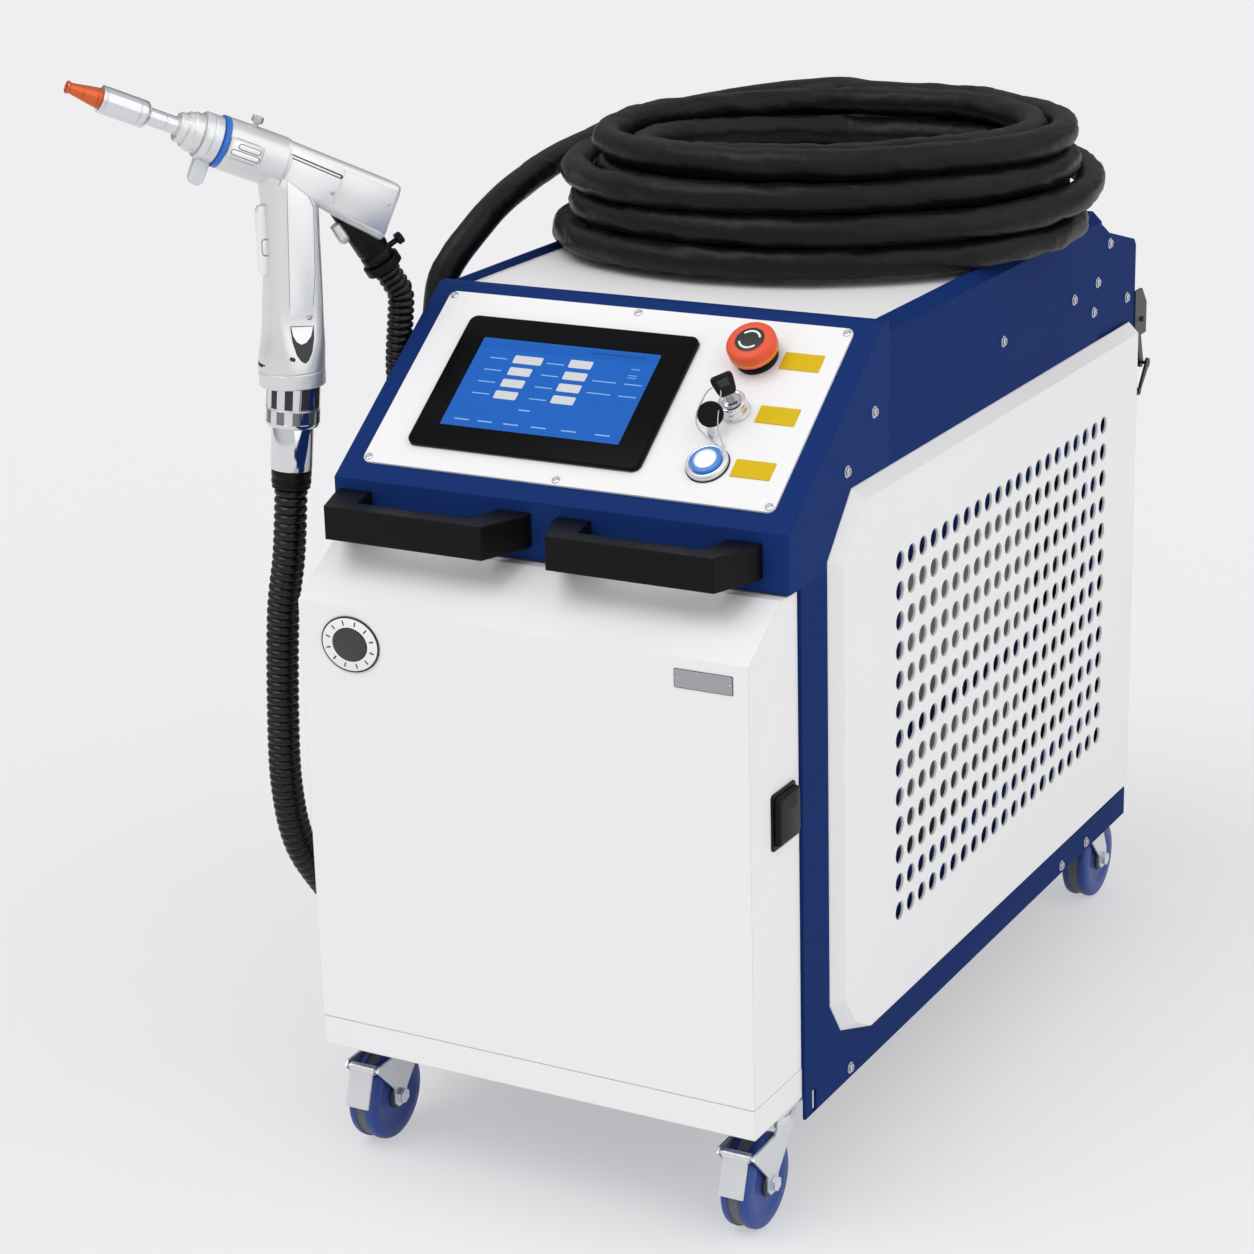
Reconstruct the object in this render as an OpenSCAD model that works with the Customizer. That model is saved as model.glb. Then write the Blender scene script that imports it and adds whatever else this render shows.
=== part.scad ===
// Laser cleaning machine: a wheeled cabinet with a sloped control head, a coiled sleeve hose on its top
// and a handheld cleaning gun that two ribbed hoses join to it.
// Millimetres, +Z up, the floor at z = 0. The pieces are drawn in the cabinet's own frame (x = 0 at its
// middle, y = 0 at the door's front) and moved together to the origin under the middle of the whole machine.

/* [Cabinet] */
// Width over the blue side shells
shell_w = 507.2; // [504:0.2:512]
// Depth from the door's front to the rear face
cabinet_d = 1012; // [1008:1:1020]
// Height of the top rim above the floor
cabinet_h = 873; // [870:0.5:876]
// Thickness of the sheet metal
sheet = 3; // [2.4:0.1:3.2]
// Height of the floor sill's lower edge
sill_z = 100; // [99.5:0.5:104]
// Height of the sill strip
sill_h = 34.2; // [30:0.2:38]
// Height of the seam between side shells and top hood
hood_z = 752; // [748:1:756]
// Width of the bevel along the hood's top edges
hood_bevel = 11; // [6:1:12]
// Depth of the white top plate below the rim
plate_drop = 8; // [4:1:9]

/* [Door] */
// Width of the door
door_w = 500; // [496:1:501]
// Depth of the box-shaped door
door_d = 103.4; // [100:0.2:106]
// Height of the door's flat front
door_front_h = 453.7; // [430:1:470]
// Depth of the sloped bevel at the door's top
door_bevel = 69.8; // [50:1:75]
// Gap between the door and the skirt
door_gap = 0.6; // [0.4:0.1:1.5]
// Height of the kick skirt
skirt_h = 31.6; // [28:0.2:36]
// Outward throw of the side latch paddle
latch_d = 11; // [9:0.5:13]
// Height of the side latch
latch_h = 58; // [50:1:64]

/* [Control head] */
// Height of the chin's lower edge
chin_z = 657.2; // [655:0.2:659]
// Height of the upright chin
chin_h = 59; // [56:0.5:62]
// Depth of the chin behind the door's front
chin_y = 80.2; // [76:0.2:84]
// Slope of the control face
slant_angle = 36.41; // [35:0.01:38]
// Width of the white control fascia
fascia_w = 460; // [450:1:470]
// Length of the fascia along the slope
fascia_l = 229; // [226:1:232]
// Thickness of the fascia
fascia_t = 2.5; // [2:0.1:3]
// Width of the screen bezel
bezel_w = 264; // [258:1:270]
// Length of the screen bezel along the slope
bezel_l = 170; // [160:1:180]
// Height of the screen bezel over the fascia
bezel_t = 5.5; // [4:0.5:7]
// Width of the lit display
display_w = 204; // [190:1:215]
// Length of the lit display along the slope
display_l = 115; // [105:1:125]
// Diameter of the emergency stop's head
stop_d = 51; // [40:1:54]
// Diameter of the key switch's bezel
key_bezel_d = 29; // [26:1:32]
// Diameter of the start button's bezel
start_d = 43; // [38:1:45]

/* [Front handles] */
// Width over the feet of one bridge handle
handle_w = 220; // [210:1:230]
// Reach of the grip bar in front of the chin
handle_reach = 62.2; // [55:0.2:66]
// Depth of the grip bar
handle_bar_d = 22; // [16:1:24]
// Height of the grip bar
handle_bar_h = 34; // [26:1:36]

/* [Side panels] */
// Thickness by which the white side panels stand proud
panel_t = 12.4; // [10:0.2:14]
// Length of a side panel
panel_l = 823; // [800:1:830]
// Height of a side panel
panel_h = 576; // [560:1:580]
// Width of the bevel round a side panel
panel_bevel = 12; // [8:1:14]
// Diameter of the vent holes
vent_d = 20; // [14:0.5:22]
// Columns of vent holes
vent_columns = 21; // [15:1:21]
// Rows of vent holes
vent_rows = 13; // [9:1:13]

/* [Casters] */
// Height from the floor to the caster plates' mounting face
caster_h = 125; // [124:0.5:127]
// Diameter of the wheels
wheel_d = 98; // [94:0.5:98]
// Width of the wheels
wheel_w = 32; // [26:1:33]
// Trail of the wheels behind the swivel
caster_trail = 30; // [26:1:31]
// Distance between the left and right swivels
caster_span = 438; // [430:1:438]
// Diameter of the axles
axle_d = 10; // [8:0.5:12]

/* [Gun] */
// Height of the grip's reference point above the floor
gun_z = 843.5; // [835:0.5:850]
// Upward tilt of the barrel
gun_tilt = 24.1; // [22:0.1:26]
// Turn of the gun about the vertical
gun_turn = -128.77; // [-131:0.01:-126]
// Radius of the round front body
gun_r = 27; // [25:0.5:28]
// Half width of the grip and the rear block
grip_half = 22; // [18:0.5:23]
// Radius of the chrome front tube
tube_r = 14; // [12:0.5:15]
// Radius of the thin rear tube
tube2_r = 9; // [7:0.5:10]
// Length of the copper nozzle
nozzle_l = 32; // [24:1:36]

/* [Hoses] */
// Diameter of the coiled sleeve hose
sleeve_d = 32; // [28:0.5:32]
// Height step between the coil's layers
coil_step = 33; // [33:0.5:36]
// Radial step of the coil's spiral in one loop
coil_pitch = 35; // [34:0.5:37]
// Diameter of the ribbed hose on the handle
hose1_d = 35; // [30:0.5:36]
// Diameter of the ribbed hose on the rear connector
hose2_d = 28; // [24:0.5:30]
// Step between the ribs
rib_pitch = 12; // [12:0.5:16]
// Depth of the grooves between the ribs
rib_depth = 2.4; // [1.5:0.1:3]

/* [Hidden] */

// Where the cabinet stands from the origin, which lies under the middle of the machine
cabinet_x = 107.7;
cabinet_y = -518.6;

// Smoothness of round surfaces, and the overrun and clearances that all pieces share
$fn = 48;
cut = 1;
fit = 0.3;
shaft_gap = 0.05;

// Colours
blue = [0.08, 0.16, 0.42];
white = [0.93, 0.93, 0.93];
black = [0.05, 0.05, 0.05];
steel = [0.75, 0.76, 0.78];
bright = [0.85, 0.86, 0.88];
yellow = [0.95, 0.83, 0.08];
red = [0.9, 0.22, 0.12];
copper = [0.8, 0.35, 0.2];

// Derived planes of the cabinet
half_w = shell_w / 2;
inner_x = half_w - sheet;
door_half = door_w / 2;
front_y = door_d + 2 * door_gap;
floor_top = caster_h + sheet;
sill_top = sill_z + sill_h;
door_z = caster_h + skirt_h + door_gap;
door_clear = 2.2;
door_top = chin_z - door_clear;
chin_top = chin_z + chin_h;
slant_run = (cabinet_h - chin_top) / tan(slant_angle);
slant_end = chin_y + slant_run;
head_lip = 13.2;
hood_y = slant_end + head_lip;
hood_end = 889;
shell_end = 885;
rim_w = 14.6;
rim_x = half_w - rim_w;
plate_z = cabinet_h - plate_drop;
ledge_w = 14;
end_wall_h = 28;

// Rear shell: lap behind the side shells, sloping top, rounded rear edge, border round the rear panel
rear_lap = 9;
rear_slope_z = 852;
rear_slope_end = 820;
rear_edge = 6;
rear_edge_drop = 8;
rear_border = 42;
rear_band_z = 770;
tongue_top = 859;
tongue_low = 776;
tongue_bulge = 50;
tongue_steps = 12;

// Frame: uprights, shelf and lintel
post_w = 14;
post_d = 20;
mid_post_y = 320;
rear_post_y = 960;
post_top = 740;
shelf_z = 400;
lintel_h = 20;
shell_flange = 24.6;
slot_y = 120.6;
slot_w = 9.4;
slot_edge = 2;
vent_window_y = 330;
vent_window_end = 850;
vent_window_z = 285;
vent_window_top = 600;

// Side panels: lower front corner, chamfers and first vent hole
panel_y = 162;
panel_z = 150;
panel_cut_top_y = 55;
panel_cut_top_z = 59;
panel_cut_low_y1 = 25;
panel_cut_low_z1 = 37;
panel_cut_low_y2 = 69;
panel_cut_low_z2 = 13;
panel_wall = 3;
vent_y = 306;
vent_z = 250;
vent_step_y = 28.5;
vent_step_z = 31.6;

// Front handles: middles, foot depth and length, height of their lower edge over the chin's
handle_left_x = -135.5;
handle_right_x = 116;
handle_foot_l = 36;
handle_foot_d = 9;
handle_inset = 20;
handle_rise = 14;

// Screws: head size and places on the side shells
screw_r = 5;
screw_t = 3;
side_screws = [[916, 832], [879, 794], [806, 789], [868, 762], [600, 787], [271, 789], [208, 745],
    [210, 111], [800, 110], [880, 110]];
rear_screw = [984, 755];
fascia_screw_edge = 6;
fascia_middle_x = -8;

// Fascia, bezel, display and controls along the slope: x across the machine, s up the slope
fascia_x = -231;
fascia_s = 22;
fascia_r = 8;
bezel_x = -189;
bezel_s = 48;
bezel_r = 9;
bezel_face = 1.5;
display_x = -161;
display_s = 75;
display_t = 2;
control_x = 142;
stop_s = 203;
key_x = 145.5;
key_s = 135;
start_s = 68;
label_x = 190.3;
label_w = 42;
label_l = 21;
label_t = 1;
stop_collar_r = 20;
stop_collar_t = 5;
stop_stem_r = 8;
stop_barrel_r = 11;
stop_head_low = 13;
stop_head_top = 31;
stop_dome = 5;
barrel_l = 30;
barrel_floor = 4;
key_bezel_t = 17.5;
key_plug_r = 9;
key_barrel_r = 11;
key_blade_w = 8;
key_blade_t = 2.5;
key_head_low = 29;
key_head_top = 57;
key_head_w = 23;
key_head_t = 5;
key_hole_n = 42;
key_hole_r = 5.4;
key_hole_x = 4.3;
key_turn = 143;
ring_r = 10;
ring_wire_r = 0.9;
ring_x = 13.9;
ring_y = 1.95;
ring_n = 40.05;
ring_tilt = 45;
spare_r = 13;
spare_t = 4;
spare_out = 22.9;
spare_near = 13.1;
spare_n = 26;
spare_blade_l = 12.5;
spare_blade_w = 7;
spare_blade_t = 2.2;
spare_tilt = 32;
spare_blade_lean = 21;
start_cap_r = 15;
start_barrel_r = 16.5;
start_bezel_t = 6.5;
start_bezel_top_r = 17.5;
start_cap_top = 12;
start_cap_low = -10;
start_barrel_l = 20;

// Door: badge, nameplate, latch paddle and hinge knuckles
badge_x = -190;
badge_z = 572;
badge_half_w = 34;
badge_half_h = 29;
badge_t = 2;
badge_core_share = 0.58;
badge_core_t = 1;
badge_points = 48;
nameplate_x = 172;
nameplate_z = 581;
nameplate_w = 62;
nameplate_h = 19;
nameplate_t = 1;
latch_y = 42;
latch_z = 411;
latch_l = 58;
latch_base_t = 2.5;
latch_ear = 3;
latch_pin_r = 1.5;
latch_knuckle_r = 2.7;
latch_pin_out = 5.5;
knuckle_r = 5;
knuckle_h = 18;
knuckle_x = -259.5;
hinge_pin_r = 3;
hinge_z1 = 240;
hinge_z2 = 560;
knuckle_arm = 4.4;
hinge_back = 0.6;

// Draw latch on the rear face: cheeks, lever, hooked bail and keeper stud
draw_x = 228;
draw_w = 24;
draw_plate_t = 3;
draw_z = 700;
draw_h = 56;
draw_cheek_d = 38;
draw_pivot_y = 22;
draw_pivot_up = 19;
draw_pin_r = 3;
lever_w = 14;
lever_t = 12;
lever_end_y = 40;
lever_end_drop = 57;
bail_t = 3;
bail_pin_r = 2;
bail_eye_r = 6;
bail_hole_gap = 0.8;
keeper_y = 12;
keeper_r = 3;
keeper_post = 9;

// Casters: swivel places, plate, raceway, fork, axle and brake pedal
front_swivel_y = 89;
rear_swivel_y = 950;
caster_plate_w = 62;
caster_plate_l = 76;
raceway_r = 24;
raceway_low = 112.3;
fork_top = 112;
fork_disc_t = 8;
fork_disc_r = 25;
kingpin_r = 6;
kingpin_up = 8;
leg_in = 18.5;
leg_t = 2.5;
leg_half = 20;
leg_foot = 11;
axle_z = wheel_d / 2;
axle_head_r = 8;
axle_head_t = 5;
hub_r = 15;
hub_w = 36;
tyre_groove = 1.5;
tyre_band = 12;
pedal_pivot_out = 67;
pedal_pivot_z = 92;
pedal_pin_r = 2.5;
pedal_eye_r = 5;
pedal_w = 30;
pedal_t = 3;
pedal_out = 4.2;
pedal_l = 42;
pedal_lean = 19;
arm_half = 5;
arm_top_z = 98;

// Gun: grip's reference point, barrel origin in the grip's frame, and sizes along the barrel
gun_x = -342.7;
gun_y = 150;
barrel_x = 64.3;
barrel_z = 199.4;
front_l = 67;
block_l = 125;
block_top = 25;
block_top_rear = 21;
block_low = 28;
block_low_rear = 40;
block_low_start = 50;
front_flat = 25;
spigot_r = 20;
seal_w = 5;
seal_r = 26.8;
ring_start = 2.6;
ring_end = 22;
front_ring_r = 24.5;
tab_w = 16;
tab_t = 12;
tab_drop = 49;
collar_end = 46;
collar_mid = 38;
collar_r = 20.5;
collar_nose_r = 15.6;
collar_flat = 18.5;
tube2_end = 77;
tube_end = 128;
tube_chamfer = 4;
nozzle_r = 10.5;
nozzle_tip_r = 5.5;
nozzle_bore_r = 2.5;
nozzle_ring_t = 3;
nozzle_ring_r = 6.5;
drawer_u = 21;
drawer_l = 30;
drawer_h = 14;
drawer_w = 40;
drawer_lip = 3;
drawer_lens_r = 5;
thumb_u = 30;
thumb_shank_r = 2.5;
thumb_shank_l = 12;
thumb_head_r = 6;
thumb_head_t = 7;
thumb_neck = 3;

// Grip outline in its own frame, from the flare at its foot up to the barrel
grip_points = [[36, -54], [36, -42], [34, -17], [29, 9.5], [24, 60], [22.4, 148], [30, 178],
    [-31, 150], [-30, 3], [-32, -25], [-30, -54]];
grip_base_x = 3.5;
grip_base_r = 34;
grip_base_top = -28;
grip_cone_top = 0;
grip_cone_r = 24;
groove_u = 74;
groove_l = 59;
groove_v = 6;
groove_h = 4;
groove_d = 2;
trigger_z = 59;
trigger_l = 73;
trigger_x = 18;
trigger_out = 14;
trigger_half = 5.5;
trigger_room = 7;
trigger_pin_r = 2;
trigger_pin_down = 7;
trigger_pin_x = 17;
lug_half = 4;
lug_h = 13;
fitting_z = -50;
fitting_lean = -5;
fitting_x = 2;
nut_r = 28;
nut_l = 50;
nut_band = 30;
fitting_sleeve_r = 22;
fitting_sleeve_l = 46;
fitting_boot_r = 21;
fitting_boot_l = 20;
connector_x = -71.2;
connector_z = 106.6;
connector_lean = 30.5;
connector_l = 62;
connector_up = 24;
connector_r = 17;
connector_wing = 16;
connector_wing_t = 6;
connector_wing_at = 44;

// Gun holder: foot plate on the head's side, rod, arm and ring clamp
holder_y = 290;
holder_z = 775;
holder_foot = 22;
holder_foot_t = 4;
holder_rod_r = 5;
holder_elbow_r = 6;
holder_x = -306;
holder_top = 875;
clamp_at = 51;
clamp_w = 9;
clamp_wall = 3;

// Coil: its middle, starting radius, least radius and the peak between its layer pairs
coil_x = 28;
coil_y = 650;
coil_lift = 0.3;
coil_loops = 9;
coil_start_r = 281;
coil_min_r = 190;
coil_peak_r = 272;
coil_rings = 24;
tube_sides = 6;

// Outlet block on the sloping rear top
outlet_l = 52;
outlet_d = 37.4;
outlet_wall = 0.4;

// Routes of the sleeve and of the two ribbed hoses
sleeve_route = [[-100, 925, 985], [-200, 870, 975], [-275, 780, 962], [-294, 690, 951], [-298, 590, 940],
    [-302, 500, 916], [-313, 455, 888], [-326, 430, 862], [-333, 415, 835], [-334, 408, 790], [-328, 402, 740],
    [-316, 400, 700]];
hose1_route = [[-358, 139, 600], [-371, 140, 530], [-380, 140, 393], [-384, 148, 321], [-382, 160, 268],
    [-374, 180, 226], [-365, 215, 180], [-346, 255, 154], [-323, 300, 142], [-314, 350, 158],
    [-312, 385, 200], [-310, 415, 280], [-308, 425, 400], [-308, 425, 480]];
hose2_route = [[-270.5, 240, 838], [-273, 239, 812], [-277, 243, 782], [-280, 252, 745], [-285, 260, 700],
    [-291, 262, 600], [-294, 264, 520], [-298, 272, 470], [-302, 292, 435], [-305, 315, 425], [-307, 340, 436],
    [-308, 358, 475]];
junction_at = [-308, 400];
junction_z = 560;
junction_h = 60;
junction_w = 46;
junction_l = 108;
junction_neck = 20;
junction_neck_r = 18;
junction_hose1_y = 425;
junction_hose2_y = 365;
junction_edge = 10;
hose_wall = 3;
hose_sides = 8;
sleeve_sides = 12;
sleeve_ring_step = 60;
bore_ring_step = 36;
spline_steps = 8;

// Laser source, chiller and fan inside, and the rear panel's grille
laser_half = 200;
laser_l = 480;
laser_h = 150;
fin_t = 4;
fin_h = 20;
fin_count = 14;
chiller_half = 190;
chiller_l = 480;
chiller_h = 220;
chiller_cap_r = 24;
chiller_cap_h = 16;
chiller_pump_r = 34;
chiller_pump_l = 46;
inside_y = 345;
fan_z = 290;
fan_r = 88;
fan_hub_r = 24;
fan_t = 18;
fan_gap = 8;
fan_pin_r = 4;
fan_blades = 7;
fan_blade_t = 2.5;
fan_blade_tilt = 35;
grille_r = 92;
grille_ring = 4;
grille_rings = 5;
grille_spokes = 4;
inlet_x = 150;
inlet_z = 200;
inlet_w = 50;
inlet_h = 32;
inlet_t = 6;
isolator_z = 330;
isolator_r = 22;
isolator_t = 14;
isolator_grip = 8;
gland_r = 16;
gland_t = 14;
gland_x = 80;

// Small helpers
function mix(a, b, t) = a + (b - a) * t;
function slant_z(y) = chin_top + (y - chin_y) * tan(slant_angle);
function rear_top_z(y) = mix(rear_slope_z, rear_slope_end, (y - hood_end) / (cabinet_d - rear_edge - hood_end));

module placed() { translate([cabinet_x, cabinet_y, 0]) children(); }
module box(a, b) { translate(a) cube(b - a); }
module both_sides() { children(); mirror([1, 0, 0]) children(); }
module along_x(x0, x1) { translate([x0, 0, 0]) rotate([90, 0, 90]) linear_extrude(x1 - x0) children(); }
module along_y(y0, y1) { translate([0, y1, 0]) rotate([90, 0, 0]) linear_extrude(y1 - y0) children(); }
module rod_x(x0, x1, r) { translate([x0, 0, 0]) rotate([0, 90, 0]) cylinder(h = x1 - x0, r = r); }
module rod_y(y0, y1, r) { translate([0, y1, 0]) rotate([90, 0, 0]) cylinder(h = y1 - y0, r = r); }
module rounded(w, l, r) {
    translate([r, 0]) square([w - 2 * r, l]);
    translate([0, r]) square([w, l - 2 * r]);
    for (x = [r, w - r], y = [r, l - r]) translate([x, y]) circle(r = r);
}
module on_slant() { translate([0, chin_y, chin_top]) rotate([slant_angle, 0, 0]) children(); }
module slant_at(x, s, n) { on_slant() translate([x, s, n]) children(); }

// Welded frame: floor plate, side sills with a slot at the front foot, uprights, lintel and shelf
module base_frame() {
    color(blue) placed() {
        box([-door_half + sheet, sheet, caster_h], [door_half - sheet, front_y, floor_top]);
        box([-inner_x, front_y, caster_h], [inner_x, cabinet_d, floor_top]);
        both_sides() {
            difference() {
                box([inner_x, front_y, sill_z], [half_w, cabinet_d, sill_top]);
                box([inner_x - cut, slot_y, sill_z + slot_edge], [half_w + cut, slot_y + slot_w, caster_h]);
            }
            box([inner_x - post_w, front_y + sheet, floor_top], [inner_x, front_y + sheet + post_d, chin_z]);
            box([inner_x - post_w, mid_post_y, floor_top], [inner_x, mid_post_y + post_d, post_top]);
            box([inner_x - sheet - post_w, rear_post_y, floor_top],
                [inner_x - sheet, rear_post_y + post_d, post_top]);
        }
        box([-inner_x + post_w, front_y + sheet, chin_z - lintel_h],
            [inner_x - post_w, front_y + sheet + post_d, chin_z]);
        box([-inner_x + post_w, mid_post_y, shelf_z - sheet], [inner_x - post_w, mid_post_y + post_d, shelf_z]);
        box([-inner_x + post_w + sheet, mid_post_y + post_d, shelf_z - sheet],
            [inner_x - post_w - sheet, rear_post_y + post_d, shelf_z]);
    }
}

// Side shell with its front return flange and the vent window behind the perforated panel
module side_shell() {
    difference() {
        along_x(inner_x, half_w) polygon([[front_y, sill_top], [shell_end, sill_top], [shell_end, hood_z],
            [hood_y, hood_z], [hood_y, chin_z], [front_y, chin_z]]);
        box([inner_x - cut, vent_window_y, vent_window_z], [half_w + cut, vent_window_end, vent_window_top]);
    }
    box([inner_x - shell_flange, front_y, sill_top], [inner_x, front_y + sheet, chin_z]);
}
module right_shell() { color(blue) placed() side_shell(); }
module left_shell() {
    color(blue) placed() {
        mirror([1, 0, 0]) side_shell();
        for (z = [hinge_z1, hinge_z2]) hinge_ear(z);
    }
}
module hinge_ear(z) {
    difference() {
        union() {
            translate([knuckle_x, front_y - hinge_back, z]) cylinder(h = knuckle_h, r = knuckle_r);
            box([knuckle_x, front_y + fit, z], [-half_w, front_y + fit + knuckle_arm, z + knuckle_h]);
        }
        translate([knuckle_x, front_y - hinge_back, z - cut]) cylinder(h = knuckle_h + 2 * cut, r = hinge_pin_r);
    }
}

// Top hood: side walls, bevelled rims, the ledge that carries the top plate and the rear end wall
module hood_section() {
    polygon([[inner_x, hood_z], [half_w, hood_z], [half_w, cabinet_h - hood_bevel],
        [half_w - hood_bevel, cabinet_h], [rim_x, cabinet_h], [rim_x, plate_z - sheet],
        [rim_x - ledge_w, plate_z - sheet], [rim_x - ledge_w, plate_z - 2 * sheet], [inner_x, plate_z - 2 * sheet]]);
}
module hood_side() {
    tongue = [for (i = [0 : tongue_steps]) [
        mix(hood_end, shell_end, i / tongue_steps) + tongue_bulge * sin(180 * i / tongue_steps),
        mix(tongue_top, tongue_low, i / tongue_steps)]];
    polygon(concat([[hood_y, hood_z - cut], [hood_y, cabinet_h + cut], [hood_end, cabinet_h + cut]], tongue,
        [[shell_end, hood_z - cut]]));
}
module top_hood() {
    color(blue) placed() {
        both_sides() intersection() {
            along_y(hood_y, hood_end + tongue_bulge + cut) hood_section();
            along_x(0, half_w + cut) hood_side();
        }
        box([-rim_x, hood_y, plate_z - 2 * sheet], [rim_x, hood_y + ledge_w, plate_z - sheet]);
        box([-inner_x, hood_end - sheet, cabinet_h - end_wall_h], [inner_x, hood_end, cabinet_h - hood_bevel]);
        box([-rim_x, hood_end - sheet, cabinet_h - hood_bevel], [rim_x, hood_end, cabinet_h]);
    }
}
module top_plate() {
    color(white) placed() box([-rim_x, hood_y, plate_z - sheet], [rim_x, hood_end - sheet, plate_z]);
}

// Rear shell: side walls inside the side shells, sloping top, border round the rear panel
module rear_side() {
    polygon([[shell_end - rear_lap, floor_top], [shell_end - rear_lap, cabinet_h - end_wall_h - sheet],
        [hood_end, cabinet_h - end_wall_h - sheet], [hood_end, rear_slope_z],
        [cabinet_d - rear_edge, rear_slope_end], [cabinet_d, rear_slope_end - rear_edge_drop],
        [cabinet_d, floor_top]]);
}
module rear_skin() {
    polygon([[hood_end, rear_slope_z], [cabinet_d - rear_edge, rear_slope_end],
        [cabinet_d, rear_slope_end - rear_edge_drop], [cabinet_d, rear_band_z],
        [cabinet_d - sheet, rear_band_z], [cabinet_d - sheet, rear_slope_end - rear_edge_drop - sheet],
        [cabinet_d - rear_edge - sheet, rear_slope_end - sheet - cut], [hood_end, rear_slope_z - sheet - cut]]);
}
module rear_shell() {
    color(blue) placed() {
        both_sides() {
            along_x(inner_x - sheet, inner_x) rear_side();
            box([inner_x - rear_border, cabinet_d - sheet, floor_top],
                [inner_x - sheet, cabinet_d, rear_band_z]);
        }
        along_x(-inner_x + sheet, inner_x - sheet) rear_skin();
    }
}

// Rear panel with the fan's grille and motor, the mains inlet, the isolator and a gland
module rear_panel() {
    face = cabinet_d - sheet;
    color(steel) placed() {
        difference() {
            box([-inner_x + sheet, face - sheet, floor_top], [inner_x - sheet, face, rear_band_z + post_d]);
            translate([0, 0, fan_z]) rod_y(face - sheet - cut, face + cut, grille_r);
        }
        for (i = [1 : grille_rings]) translate([0, 0, fan_z]) difference() {
            rod_y(face - sheet, face, i * grille_r / grille_rings);
            rod_y(face - sheet - cut, face + cut, i * grille_r / grille_rings - grille_ring);
        }
        for (i = [0 : grille_spokes - 1]) translate([0, 0, fan_z]) rotate([0, i * 180 / grille_spokes, 0])
            box([-grille_r, face - sheet, -grille_ring / 2], [grille_r, face, grille_ring / 2]);
        translate([0, 0, fan_z]) {
            rod_y(face - sheet - fan_gap, face - sheet, fan_hub_r);
            rod_y(face - sheet - fan_gap - fan_t - 2 * fit, face - sheet - fan_gap, fan_pin_r);
        }
        difference() {
            box([inlet_x, face, inlet_z], [inlet_x + inlet_w, face + inlet_t, inlet_z + inlet_h]);
            box([inlet_x + inlet_t, face + sheet, inlet_z + inlet_t],
                [inlet_x + inlet_w - inlet_t, face + inlet_t + cut, inlet_z + inlet_h - inlet_t]);
        }
        translate([inlet_x + inlet_w / 2, 0, isolator_z]) {
            rod_y(face, face + isolator_t / 2, isolator_r);
            box([-isolator_grip / 2, face, -isolator_r], [isolator_grip / 2, face + isolator_t, isolator_r]);
        }
        translate([-inlet_x - gland_x / 2, 0, inlet_z]) difference() {
            rod_y(face, face + gland_t, gland_r);
            rod_y(face + sheet, face + gland_t + cut, gland_r / 2);
        }
    }
}

// Control head: a folded shell, open at the rear, with holes for the controls' barrels
module head_outer() {
    polygon([[chin_y, chin_z], [hood_y, chin_z], [hood_y, cabinet_h], [slant_end, cabinet_h], [chin_y, chin_top]]);
}
module head_inner() {
    y0 = chin_y + sheet;
    drop = sheet / cos(slant_angle);
    top = cabinet_h - sheet;
    y1 = chin_y + (top + drop - chin_top) / tan(slant_angle);
    polygon([[y0, chin_z + sheet], [hood_y + cut, chin_z + sheet], [hood_y + cut, top], [y1, top],
        [y0, slant_z(y0) - drop]]);
}
module control_holes() {
    slant_at(control_x, stop_s, -barrel_l) cylinder(h = 2 * barrel_l, r = stop_barrel_r);
    slant_at(key_x, key_s, -barrel_l) cylinder(h = 2 * barrel_l, r = key_barrel_r);
    slant_at(control_x, start_s, -barrel_l) cylinder(h = 2 * barrel_l, r = start_barrel_r);
}
module control_head() {
    color(blue) placed() difference() {
        along_x(-half_w, half_w) head_outer();
        along_x(-inner_x, inner_x) head_inner();
        control_holes();
    }
}
module control_fascia() {
    color(white) placed() difference() {
        slant_at(fascia_x, fascia_s, 0) linear_extrude(fascia_t) rounded(fascia_w, fascia_l, fascia_r);
        control_holes();
    }
}
module screen_bezel() {
    color(black) placed() slant_at(bezel_x, bezel_s, fascia_t) difference() {
        linear_extrude(bezel_t) rounded(bezel_w, bezel_l, bezel_r);
        translate([display_x - bezel_x, display_s - bezel_s, bezel_t - bezel_face - display_t])
            cube([display_w, display_l, bezel_t]);
    }
}
module screen_display() {
    color(blue) placed() slant_at(display_x, display_s, fascia_t + bezel_t - bezel_face - display_t)
        cube([display_w, display_l, display_t]);
}
module label_plates() {
    color(yellow) placed() for (s = [stop_s, key_s, start_s])
        slant_at(label_x - label_w / 2, s - label_l / 2, fascia_t) cube([label_w, label_l, label_t]);
}

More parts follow.
